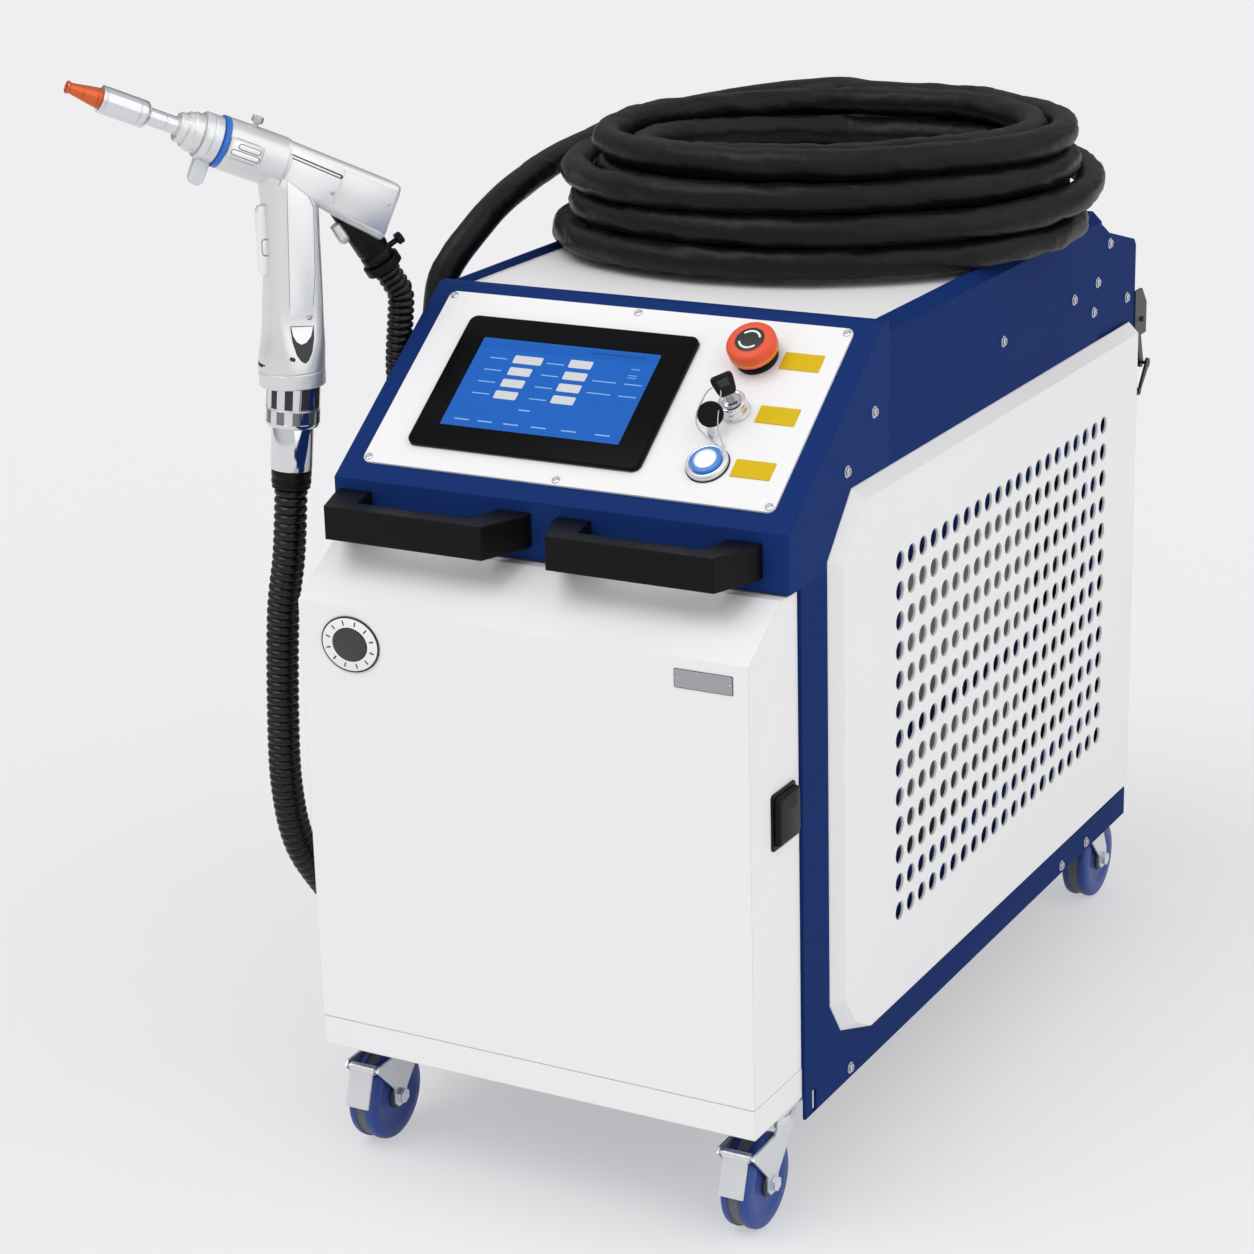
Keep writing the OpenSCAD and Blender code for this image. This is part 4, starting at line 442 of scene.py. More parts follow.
# Cords first: the sleeve in its coil and beside it, then the two ribbed hoses on the gun
SLEEVE_D = 32.0
COIL_X, COIL_Y, COIL_STEP, COIL_PITCH = 28.0, 650.0, 33.0, 35.0
COIL_START, COIL_MIN, COIL_PEAK, COIL_LOOPS = 281.0, 190.0, 272.0, 9
OVAL_TURN, OVAL_WIDE, OVAL_DEEP, OVAL_BACK, OVAL_EASE = 29.0, 0.065, -0.10, 14.0, 45
SLEEVE_STEP, SLEEVE_SIDES, END_EASE, STEPS_PER_TURN = 11.0, 22, 12.0, 96
SIDE_WANDER, UP_WANDER = 7.0, 1.8
HOSE_SIDES, RIB_DEPTH, ROWS_PER_RIB = 24, 2.6, 6.0
TURN1 = (COIL_START - COIL_MIN) / COIL_PITCH
TURN2 = TURN1 + (COIL_PEAK - COIL_MIN) / COIL_PITCH
TURN3 = TURN2 + (COIL_PEAK - COIL_MIN) / COIL_PITCH


def coil_point(t):
    def climb(v):
        return max(0.0, min(1.0, 2 * v + 0.5))
    if t < TURN1:
        r = COIL_START - COIL_PITCH * t
    elif t < TURN2:
        r = COIL_MIN + COIL_PITCH * (t - TURN1)
    elif t < TURN3:
        r = COIL_PEAK - COIL_PITCH * (t - TURN2)
    else:
        r = COIL_MIN + COIL_PITCH * (t - TURN3)
    a = radians(90 + 360 * t)
    z = CABINET_H + 0.3 + SLEEVE_D / 2 + COIL_STEP * (climb(t - TURN1) + climb(t - TURN2) + climb(t - TURN3))
    return Vector((COIL_X + r * cos(a), COIL_Y + r * sin(a), z))


def on_gun(p):
    a = radians(GUN_TURN)
    return Vector((GUN_X + p[0] * cos(a) - p[1] * sin(a),
                   GUN_Y + p[0] * sin(a) + p[1] * cos(a), GUN_Z + p[2]))


def gun_way(lean):
    a = radians(GUN_TURN)
    x, z = -sin(radians(lean)), -cos(radians(lean))
    return Vector((x * cos(a), x * sin(a), z))


def lean_axis(lean):
    return Vector((-sin(radians(lean)), 0, -cos(radians(lean))))


NECK_END = Vector((-308, 400, 640))
SLEEVE_ROUTE = [(-100, 925, 985), (-200, 870, 975), (-275, 780, 962), (-294, 690, 951), (-298, 590, 940),
                (-302, 500, 916), (-313, 455, 888), (-326, 430, 862), (-333, 415, 835), (-334, 408, 790),
                (-328, 402, 740), (-316, 400, 700)]
HOSE1_ROUTE = [(-358, 139, 600), (-371, 140, 530), (-380, 140, 393), (-384, 148, 321), (-382, 160, 268),
               (-374, 180, 226), (-365, 215, 180), (-346, 255, 154), (-323, 300, 142), (-314, 350, 158),
               (-312, 385, 200), (-310, 415, 280), (-308, 425, 400), (-308, 425, 480)]
HOSE2_ROUTE = [(-270.5, 240, 838), (-273, 239, 812), (-277, 243, 782), (-280, 252, 745), (-285, 260, 700),
               (-291, 262, 600), (-294, 264, 520), (-298, 272, 470), (-302, 292, 435), (-305, 315, 425),
               (-307, 340, 436), (-308, 358, 475)]


def fabric_radius(centre, base, coil_n):
    """Soft wrinkles and slow swells along a fabric sleeve."""
    def r(i, t):
        c = centre[i]
        swell = noise.noise(Vector((c.x * 0.010, c.y * 0.010, c.z * 0.02)))
        side = Vector((cos(t), sin(t), 0)) * 1.1
        fold = noise.noise(c * 0.028 + side)
        ridge = max(0.0, 0.22 - abs(noise.noise(c * 0.045 + side * 1.7 + Vector((7, 3, 5)))))
        crease = max(0.0, 0.16 - abs(noise.noise(c * 0.022 + side * 0.8 + Vector((1, 8, 4)))))
        soft = 1.0 if i < coil_n else 0.3
        return base * (1.04 + soft * (0.02 + 0.05 * swell + 0.13 * fold - 0.22 * ridge - 0.7 * crease))
    return r


def make_sleeve():
    coil = [coil_point(0) + Vector((SLEEVE_D, 0, 0))]
    for i in range(COIL_LOOPS * STEPS_PER_TURN + 1):
        coil.append(coil_point(i / STEPS_PER_TURN))
    last = coil_point(COIL_LOOPS)
    start = last - Vector((SLEEVE_D, 0, 0))
    drop = smooth_points([start, start - Vector((SLEEVE_D, 0, 0))] + SLEEVE_ROUTE
                         + [NECK_END + Vector((0, 0, SLEEVE_D)), NECK_END])
    centre = resampled(coil + drop, SLEEVE_STEP)
    # The coil lies as an oval, wide along one way and narrow along the other
    wide = Vector((cos(radians(OVAL_TURN)), sin(radians(OVAL_TURN)), 0))
    deep = Vector((-wide.y, wide.x, 0))
    coil_n = len(resampled(coil, SLEEVE_STEP))
    for i in range(coil_n):
        c = centre[i]
        part = max(0.0, min(1.0, i / OVAL_EASE, (coil_n - i) / OVAL_EASE))
        d = Vector((c.x - COIL_X, c.y - COIL_Y, 0))
        centre[i] = c + (wide * d.dot(wide) * OVAL_WIDE + deep * (d.dot(deep) * OVAL_DEEP + OVAL_BACK)) * part
    out = []
    total = len(centre)
    for i, c in enumerate(centre):
        d = (c - Vector((COIL_X, COIL_Y, c.z)))
        free = min(1.0, i / END_EASE, (total - 1 - i) / END_EASE)
        free *= 1.0 if i < coil_n else 0.4
        w = noise.noise(c * 0.006 + Vector((3, 1, 2))) * SIDE_WANDER * free
        v = noise.noise(c * 0.008 + Vector((11, 5, 9))) * UP_WANDER * free
        out.append(c + d.normalized() * w + Vector((0, 0, max(v, -0.2))))
    centre = out
    o = tube("sleeve", centre, fabric_radius(centre, SLEEVE_D / 2 - 0.2, coil_n), SLEEVE_SIDES, "sleeve",
             start_way=(-1, 0, 0), end_way=(0, 0, -1))
    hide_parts("sleeve_coil", "sleeve_drop")
    return o, centre


def rib_radius(d):
    """Radius of a hose whose rows go up and down over every rib."""
    shape = (0.0, 0.55, 0.95, 1.0, 0.95, 0.55)
    return lambda i, t: d / 2 - RIB_DEPTH * (1.0 - shape[i % len(shape)])


def make_hose(name, start, way, route, end, d, pitch, node):
    way_points = smooth_points([start, start + way * d] + route + [end - Vector((0, 0, d)), end])
    centre = resampled(way_points, pitch / ROWS_PER_RIB)
    o = tube(name, centre, rib_radius(d), HOSE_SIDES, "hose", ref=Vector((1, 0, 0)), start_way=way,
             end_way=(0, 0, 1))
    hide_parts(node)
    return o, centre


sleeve, sleeve_centre = make_sleeve()
fitting_end = on_gun(Vector(FITTING_PLACE) + lean_axis(FITTING_LEAN) * FITTING_L)
connector_tip = on_gun(Vector(CONNECTOR_PLACE) + lean_axis(CONNECTOR_LEAN) * CONNECTOR_L)
hose1, hose1_centre = make_hose("handle_hose", fitting_end, gun_way(FITTING_LEAN), HOSE1_ROUTE,
        Vector((-308, 425, 560)), 35.0, 9.0, "hose_handle")
hose2, hose2_centre = make_hose("rear_hose", connector_tip, gun_way(CONNECTOR_LEAN), HOSE2_ROUTE,
        Vector((-308, 365, 560)), 28.0, 7.5, "hose_rear")


def make_junction():
    """Rounded moulded box where the sleeve parts into the two hoses, with a ribbed neck."""
    rows = []
    for z, half_y, half_x, r in ((0, 51, 20, 6), (1.5, 53, 22, 7), (3, 54, 23, 8), (28, 54, 23, 8),
            (34, 50, 22.6, 8), (48, 35, 21, 8), (54, 29, 20, 8), (58.5, 25, 18.5, 8), (60, 22, 17, 8)):
        rows.append(level(rounded(2 * half_x, 2 * half_y, r, 6, -half_x, -half_y), z))
    body = loft("junction_box", rows, "black_plastic", JUNCTION)
    neck = [(0.0, 59)]
    for i in range(5):
        z = 60 + i * 4.0
        neck += [(18.0, z), (18.0, z + 2.6), (16.6, z + 3.0), (16.6, z + 3.7)]
    neck += [(17.8, 80), (0.0, 80)]
    neck_piece = lathe("junction_neck", neck, "black_plastic", JUNCTION, 40)
    for z in (10, 22):
        for s in (-1, 1):
            lathe("junction_screw_%d_%d" % (z, s), [(0, 0), (3.2, 0), (3.2, 1.4), (2.6, 2.0), (1.2, 2.0),
                    (0.9, 1.2), (0, 1.2)], "screw", JUNCTION @ at(22.4, s * 40, z) @ rot("Y", 90), 20)
    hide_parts("hose_junction")
    return body, neck_piece


junction, junction_neck = make_junction()

# Finishes of the CAD nodes that show as they are
FINISH = {
    "blue": ["base_frame", "right_shell", "left_shell", "top_hood", "rear_shell"],
    "blue_head": ["control_head"],
    "white": ["top_plate", "kick_skirt", "right_panel", "left_panel", "door"],
    "fascia": ["control_fascia"],
    "grey": ["rear_panel", "laser_source", "water_chiller"],
    "black_plastic": ["cable_outlet", "fan_rotor", "door_latch", "gun_connector", "switch_key", "spare_key",
                      "hose_junction"],
    "black_metal": ["front_handles", "gun_holder"],
    "black_gloss": ["screen_bezel"],
    "display": ["screen_display"],
    "yellow": ["label_plates"],
    "red": ["stop_head"],
    "zinc": ["caster_plates", "brake_pedal_fl", "brake_pedal_fr"] + ["caster_fork_" + key for key in CORNERS],
    "screw": ["cabinet_fasteners"],
    "dark_metal": ["draw_latch_plates", "draw_latch_lever", "draw_latch_bail"],
    "chrome": ["control_bezels", "start_button", "gun_tubes", "handle_fitting", "thumb_screw"],
    "tyre": ["caster_wheel_" + key for key in CORNERS],
    "aluminium": ["gun_body", "gun_handle", "gun_trigger", "gun_collar", "lens_drawer"],
    "copper": ["gun_nozzle"],
    "seal": ["gun_seal"],
    "plate": ["door_badges"],
    "sleeve": ["sleeve_coil", "sleeve_drop"],
    "hose": ["hose_handle", "hose_rear"],
}
for key, names in FINISH.items():
    for name in names:
        materials = nodes[name].data.materials
        materials.clear()
        materials.append(M[key])


# Gun: shell of the head, grip, trigger, drawer face, screws, nut and connector
def flat_round_section(r, flat, n=28):
    pts = []
    for k in range(n):
        a = 2 * pi * k / n
        y, v = r * cos(a), r * sin(a)
        if abs(y) > flat - 1.5:
            y = copysign(min(abs(y), flat - 1.5 * max(0.0, (abs(v) - 7.0) / 5.0)), y)
        pts.append((y, v))
    return pts


def make_gun_shell():
    n = 28
    rows = []
    for u, shrink in ((-70, 0.0), (-68.2, 0.0), (-67, 0.2), (-66.4, 0.9), (-60, 0.9), (-30, 0.9), (-8, 0.9),
            (-3.6, 0.5), (-2.6, 0.0)):
        k = (25.9 + shrink) / 26.8
        rows.append([(u, y * k, v * k) for y, v in flat_round_section(27.0, 25.0, n)])
    front = loft("gun_front_shell", rows, "aluminium", BARREL)
    rows = []
    table = ((-64, 21.5, -24, 23.4), (-66, 22, -28, 25), (-80, 22, -28, 24.6), (-108, 22, -28, 23.7),
             (-117, 22, -28.4, 23.4), (-125, 22, -30, 23.1), (-150, 22, -34, 22.3), (-184, 22, -38.9, 21.2),
             (-188, 21.7, -39, 20.6), (-190.5, 20.8, -37.9, 19.2), (-191.8, 18.8, -35.5, 16.8),
             (-192, 16, -32, 14))
    for u, hw, low, top in table:
        section = rounded(2 * hw, top - low, 8.0 if u > -188 else 6.0, 6, -hw, low)
        rows.append([(u, y, v) for y, v in section])
    block = loft("gun_block_shell", rows, "aluminium", BARREL)
    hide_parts("gun_body")
    lathe("gun_front_ring", [(0, 2.6), (20, 2.6), (23.2, 2.8), (24.5, 4.2), (24.5, 12), (24.0, 12.6),
            (24.0, 13.4), (24.5, 14), (24.5, 20), (23.4, 21.8), (18, 22), (0, 22)], "aluminium", AHEAD, 64)
    lathe("gun_spigot", [(0, -4), (20, -4), (20, 2.8), (0, 2.8)], "dark_metal", AHEAD, 48)
    outline = rounded(16, 32.5, 7.9, 10, 2.6, -49)
    for s, end in ENDS:
        plate("gun_tab_" + end, outline, -2, 2, 1.6, "tab", BARREL @ at(0, s * 4.0, 0) @ STANDING)


def make_gun_details():
    y = GUN_SIDE
    # A groove drawn as a dark bar under a narrower bright bar; the dark edges are painted shade
    side_plate("gun_groove_painted_shade", bar(-69, 11.6, -125, 8.6, 4.4), y - 0.5, y + 0.06, 0.03, "dark_metal",
               BARREL)
    side_plate("gun_groove_light", bar(-70, 11.4, -124, 8.4, 2.0), y - 0.4, y + 0.12, 0.04,
               "aluminium_flat", BARREL)
    side_plate("gun_rear_panel", [(-190, -31), (-127.5, -24), (-127.5, 16.5), (-188, 13.5)], y - 0.6,
               y + 0.10, 0.08, "aluminium", BARREL)
    side_plate("gun_front_panel", [(-126.9, -21), (-126.9, 16.5), (-67.5, 19.5), (-67.5, -21)], y - 0.6,
               y + 0.02, 0.015, "aluminium_flat", BARREL)
    for name, u, v, r in (("gun_screw_a", -122.3, -9.7, 2.6), ("gun_screw_b", -183.5, -1.5, 1.3)):
        lathe(name, [(0, 0), (r, 0), (r, 0.25), (r - 0.5, 0.5), (r * 0.45, 0.5), (r * 0.4, 0.1), (0, 0.1)],
              "screw", BARREL @ at(u, y, v) @ rot("X", -90), 24)
    # Face of the lens drawer with its two slots, on the flat of the front shell
    side_plate("drawer_line", rounded(37, 21, 7, 6, -39.5, -10.5), 24.6, 25.4, 0.05, "slot_line", BARREL,
               "drawer")
    side_plate("drawer_rim", rounded(35, 19, 6, 6, -38.5, -9.5), 27.7, 28.4, 0.3, "aluminium", BARREL,
               "drawer")
    side_plate("drawer_face", rounded(32, 16, 5.5, 6, -37, -8), 28.2, 28.8, 0.3, "aluminium_flat", BARREL,
               "drawer")
    # Each slot is a dark outline under a bright bar; the outline is painted shade in the slot
    for i, (u0, u1, v) in enumerate(((-33, -15, 3.6), (-34, -9, -3.8))):
        side_plate("drawer_slot_painted_shade_%d" % i, bar(u0, v, u1, v, 6.4), 28.5, 28.9, 0.05, "slot_line", BARREL,
                   "drawer")
        side_plate("drawer_slot_light_%d" % i, bar(u0, v, u1, v, 4.6), 28.5, 29.1, 0.15, "aluminium_flat",
                   BARREL, "drawer")
    # Silver end piece between the grip and the rear connector
    lathe("gun_plug", [(0, 0), (4, 0.4), (6.2, 3), (6.5, 8), (6.0, 22), (0, 22)], "aluminium",
          CONNECTOR @ at(19.5, 4, -13), 32)


def make_thumb_screw():
    n = 48
    rows = []
    for r, h, k in ((0, 11.5, 0), (2.5, 11.5, 0), (2.5, 13.6, 0), (3.4, 14.0, 0), (3.6, 14.8, 0),
                    (5.6, 15.2, 0.3), (6.0, 16.0, 1), (6.0, 20.6, 1), (5.6, 21.6, 0.3), (3.4, 22.0, 0),
                    (3.0, 21.4, 0), (0, 21.4, 0)):
        rows.append(ring(lambda j: r - (0.35 * k if j % 2 else 0), h, n))
    o = loft("knurled_thumb_screw", rows, "screw", BARREL @ at(-30, 0, 15), "thumb_screw")
    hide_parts("thumb_screw")


GRIP_ROWS = ((-55.8, -29.4, 36.4, 33.0, 31.0), (-55.0, -30.4, 37.4, 33.9, 32.0),
             (-41, -30.5, 37.6, 33.9, 32), (-40.5, -30.1, 37.2, 33.4, 32), (-39.5, -30.1, 37.2, 33.4, 32),
             (-39, -30.5, 37.6, 33.9, 32), (-28, -30.8, 36.6, 33.0, 30), (-17, -31.2, 34.2, 29.8, 25),
             (-6, -30.6, 31.4, 26.6, 19), (5, -30.2, 29.6, 23.8, 15), (15, -30.1, 28.4, 22.4, 12.5),
             (30, -30.2, 27, 22, 11), (60, -30.4, 24.2, 22, 10.5), (100, -30.7, 23.1, 22, 10.5),
             (135, -31, 22.6, 22, 10.5), (148, -31, 23.6, 22, 10.5), (158, -31, 26, 22, 10),
             (166, -27, 28, 22, 9))


def make_grip():
    rows = []
    for z, x0, x1, hy, r in GRIP_ROWS:
        r = min(r, hy - 0.1, (x1 - x0) / 2 - 0.1)
        rows.append(level(rounded(x1 - x0, 2 * hy, r, 8, x0, -hy), z))
    o = loft("gun_grip_shell", rows, "aluminium", GUN)
    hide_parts("gun_handle")
    inlay = [(8.6, 12), (-13, 12), (-14.5, 13.5), (-20, 60), (-22.4, 128), (-18, 140), (3, 158), (4.4, 120),
             (6.6, 60)]
    side_plate("grip_inlay", inlay, 21.4, 22.35, 0.3, "aluminium_flat", GUN)
    side_plate("grip_inlay_line", inset(anticlockwise(inlay), -0.7), 21.3, 22.06, 0.02, "grey", GUN)
    lathe("grip_screw", [(0, 0), (3.4, 0), (3.4, 0.4), (2.8, 0.8), (1.5, 0.8), (1.3, 0.2), (0, 0.2)],
          "screw", GUN @ at(-11.6, 22.3, 17) @ rot("X", -90), 24)
    # Recess under the inlay: a bright tongue over a dark crescent, which is painted shade in the recess
    outer = [(9.3, 9.5), (9.0, -6), (6.5, -19), (2.5, -26), (-1.5, -28.5), (-5.5, -26), (-10.5, -18),
             (-14.2, -5), (-15.4, 7.6)]
    inner = [(8.4, 8.6), (7.6, 0), (4.5, -6.5), (0.0, -9.5), (-5.5, -8.0), (-11.0, -2.6), (-14.4, 7.0)]
    def wrapped(name, pts, lift, material):
        """Follows the grip's swelling side: the plate's points take the side's own half width."""
        def side_y(x, z):
            for a, b in zip(GRIP_ROWS, GRIP_ROWS[1:]):
                if a[0] <= z <= b[0]:
                    k = (z - a[0]) / (b[0] - a[0])
                    x0, x1, hy, r = (p + (q - p) * k for p, q in zip(a[1:], b[1:]))
                    r = min(r, hy - 0.1, (x1 - x0) / 2 - 0.1)
                    past = max(0.0, x0 + r - x, x - (x1 - r))
                    return hy - r + sqrt(max(0.0, r * r - past * past))
            return GUN_SIDE
        cx = sum(p[0] for p in pts) / len(pts)
        cz = sum(p[1] for p in pts) / len(pts)
        verts = []
        rings = 12
        for j in range(rings + 1):
            k = j / rings
            for x, z in pts:
                xx, zz = cx + (x - cx) * k, cz + (z - cz) * k
                verts.append((xx, side_y(xx, zz) + lift, zz))
        return add_mesh(name, verts, ring_faces(rings + 1, len(pts), False), material, GUN)
    wrapped("grip_recess_painted_shade", outer, 0.25, "dark_metal")
    wrapped("grip_tongue", inner, 0.6, "aluminium_flat")
    wrapped("grip_pill", bar(12.2, -22.6, 10.2, -23.4, 4.0), 0.4, "badge_black")
    # Painted shade: a dark strip stands where the slot at the front lip is
    verts, faces = [], []
    for j, z in enumerate((-33.6, -30.2)):
        for i in range(15):
            a = radians(-48 + 96 * i / 14)
            verts.append((3.4 + 34.1 * cos(a), 34.1 * sin(a), z))
    for i in range(14):
        faces.append((i, i + 1, 15 + i + 1, 15 + i))
    add_mesh("grip_lip_slot_shade", verts, faces, "dark", GUN)
    # Trigger with its pressed oval
    rows = []
    for z, x1, hy in ((59.4, 27, 3.4), (60.2, 29.5, 4.6), (63, 31.6, 5.4), (67, 32, 5.5), (124, 32, 5.5),
            (128, 31.4, 5.4), (130.8, 29.6, 4.6), (131.8, 27, 3.4)):
        rows.append(level(rounded(x1 - 17.8, 2 * hy, min(3.4, hy - 0.2), 5, 17.8, -hy), z))
    t = loft("trigger_bar", rows, "aluminium_flat", GUN, "trigger")
    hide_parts("gun_trigger")
    # The pressed oval's dark rim is painted shade
    side_plate("trigger_oval_painted_shade", bar(25, 84, 25, 94, 8.4), 5.3, 5.62, 0.02, "grey", GUN, "trigger")
    side_plate("trigger_oval", bar(25, 84.6, 25, 93.4, 6.6), 5.3, 5.8, 0.2, "aluminium_flat", GUN,
               "trigger")


def make_fitting():
    n = 120

    def square(j):
        return (j * 20 // n) % 2

    def nut(name, profile, other, marked, squares):
        """A nut from (radius, height, cut) rows; every other square of the marked rows is darker, as painted
        shade.
        """
        rows = [ring(lambda j: r - cut * square(j), z, n) for r, z, cut in profile]
        marks = [int(i in marked and square(j) == squares) for i in range(len(rows) - 1) for j in range(n)]
        return loft(name, rows, ("chrome", other), FITTING, face_mats=marks + [0, 0])

    upper = ((0.01, -0.2, 0), (26.6, -0.2, 0), (27.9, -1.4, 0), (27.9, -3, 0), (27.9, -3.2, 0.45),
             (27.9, -28.6, 0.45), (27.9, -28.8, 0), (27.9, -29.4, 0), (27.3, -29.7, 0), (27.3, -30.5, 0),
             (27.9, -30.8, 0))
    lower = ((27.9, -30.7, 0), (27.9, -31.2, 0), (27.9, -31.4, 0.4), (27.9, -44.6, 0.4), (27.9, -44.8, 0),
             (27.9, -46.5, 0), (27.0, -48.8, 0), (24.6, -49.9, 0), (22.2, -50, 0))
    # Painted shade: the upper nut's cut squares are dark metal, the lower nut's raised squares grey
    o = nut("nut_upper", upper, "dark_metal", (3, 4, 5), 1)
    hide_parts("handle_fitting")
    nut("nut_lower", lower, "nut_shade_grey", (1, 2, 3), 0)
    lathe("fitting_sleeve_piece", [(0, -49.9), (21.6, -49.9), (22.0, -50.8), (22.0, -93.5), (21.4, -95.6),
            (0, -96)], "chrome", FITTING, 56)
    boot = [(0, -95.9), (20.4, -95.9), (21.0, -96.8), (21.0, -103), (20.2, -104.4), (20.2, -105.4),
            (20.8, -106.4), (20.8, -110.6), (19.6, -112), (19.6, -113), (20.2, -114), (20.0, -115.4),
            (18.5, -116), (0, -116)]
    lathe("fitting_boot_piece", boot, "black_plastic", FITTING, 48)


def make_connector():
    rows = [(0, 24), (16, 24), (17, 22.6), (17, -36), (16.6, -37), (15.4, -37.6), (15.4, -39.4),
            (16.6, -40), (17, -41), (17, -49), (16.2, -50.4), (14.8, -51), (14.8, -52.4), (16.6, -53.2),
            (16.6, -56), (14.8, -56.8), (14.8, -58.2), (16.2, -59), (16.2, -61.4), (15.2, -62), (0, -62)]
    o = lathe("rear_connector", rows, "black_plastic", CONNECTOR, 48)
    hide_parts("gun_connector")
    lathe("connector_wing_stem", [(0, 0), (3, 0), (3, 18), (0, 18)], "black_plastic",
          CONNECTOR @ at(-14.5, 0, -44) @ rot("Y", -90), 24)
    rows = []
    for x, k in ((0, 0.8), (0.8, 1.0), (6.4, 1.0), (7.2, 0.84)):
        rows.append([(y * k, z * k, x) for y, z in rounded(11.6, 11.6, 3.6, 5, -5.8, -5.8)])
    loft("connector_wing", rows, "black_plastic", CONNECTOR @ at(-25.4, 0, -44) @ rot("Y", -90))


def make_front_end():
    collar = lathe("collar_piece", [(0, 21.9), (19.6, 21.9), (20.4, 22.8), (20.4, 31), (19.4, 32.2),
            (18.9, 33.6), (18.9, 36.4), (17.8, 38), (15.4, 38.2), (15.5, 44.8), (14.6, 46), (0, 46)],
            "aluminium", AHEAD, 12)
    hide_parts("gun_collar")
    o = lathe("thin_tube_piece", [(0, 45.8), (9, 45.8), (9, 58), (8.5, 58.4), (8.5, 59.6), (9, 60),
            (9, 77.2), (0, 77.2)], "chrome", AHEAD, 40)
    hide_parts("gun_tubes")
    lathe("front_tube_piece", [(0, 77), (10, 77), (13.2, 79.6), (14, 81.2), (14, 87), (13.4, 87.4),
            (13.4, 88.4), (14, 88.8), (14, 123), (13.3, 123.5), (13.3, 124.6), (14, 125), (14, 127.4),
            (12.8, 128), (0, 128)], "chrome", AHEAD, 48)
    cone = lathe("nozzle_piece", [(0, 127.9), (10.2, 127.9), (10.5, 128.4), (10.3, 131), (9.4, 131.4),
            (9.2, 132.4), (9.9, 132.8), (7.7, 146), (7.2, 146.3), (7.1, 147.1), (7.4, 147.4), (5.6, 157.6),
            (5.3, 159.8), (6.2, 160.2), (6.5, 160.8), (6.5, 162.4), (6.0, 163), (3.0, 163), (2.5, 162.4),
            (2.5, 150), (0, 150)], "copper", AHEAD, 40)
    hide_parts("gun_nozzle")


make_gun_shell()
make_gun_details()
make_grip()
make_thumb_screw()
make_fitting()
make_connector()
make_front_end()


# Control face: screen, buttons, keys, screws
def make_screen():
    o = plate("bezel_plate", rounded(264, 170, 9, 8, -189, 48), 2.5, 8.0, 1.2, "black_gloss", FACE, 4)
    plate("bezel_edge_line", rounded(265, 171, 9.5, 8, -189.5, 47.5), 2.4, 3.5, 0.4, "thin_edge", FACE, 2)
    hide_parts("screen_bezel")
    top = 8.0
    d = plate("display_glass", rounded(204, 115, 1.2, 3, -161, 75), top - 0.4, top + 0.12, 0.05, "display",
              FACE, 1)
    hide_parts("screen_display")
    def flat(name, x, s, w, l, r, material, z=top + 0.14, t=0.12):
        return plate(name, rounded(w, l, r, 4, x, s), z, z + t, 0.04, material, FACE, 1)
    flat("display_header", -158, 178, 198, 9, 0.8, "display_dark")
    for i, (s, w, dx) in enumerate(((160.6, 33, 0.4), (145.1, 26, -0.8), (129.6, 26, -2.0),
            (114.1, 26, -3.2))):
        flat("value_left_%d" % i, -116 + dx + (0 if i == 0 else 2), s, w, 10.2, 1.6, "panel_grey")
        flat("value_right_%d" % i, -52, s + 1.8, 26, 10.2, 1.6, "panel_grey")
        captions = [(-143, 20), (-77, 20)]
        captions += [(-18, 27), (18, 20)] if i in (1, 2) else []
        for j, (x, w2) in enumerate(captions):
            flat("caption_%d_%d" % (i, j), x, s + 3.6, w2, 1.2, 0.4, "pale_line")
    for j, x in enumerate((-148, -121, -91, -59, -25, 13)):
        flat("caption_foot_%d" % j, x, 83, 17, 1.5, 0.5, "pale_line")
    flat("caption_mid", -82, 102, 13, 1.6, 0.5, "pale_line")
    flat("caption_head", -32, 182.5, 60, 2.2, 0.5, "pale_line")
    for j, s in enumerate((168, 160, 157)):
        flat("caption_side_%d" % j, 18, s, 10, 0.9, 0.3, "pale_line")


def control(x, s):
    return FACE @ at(x, s, 0)


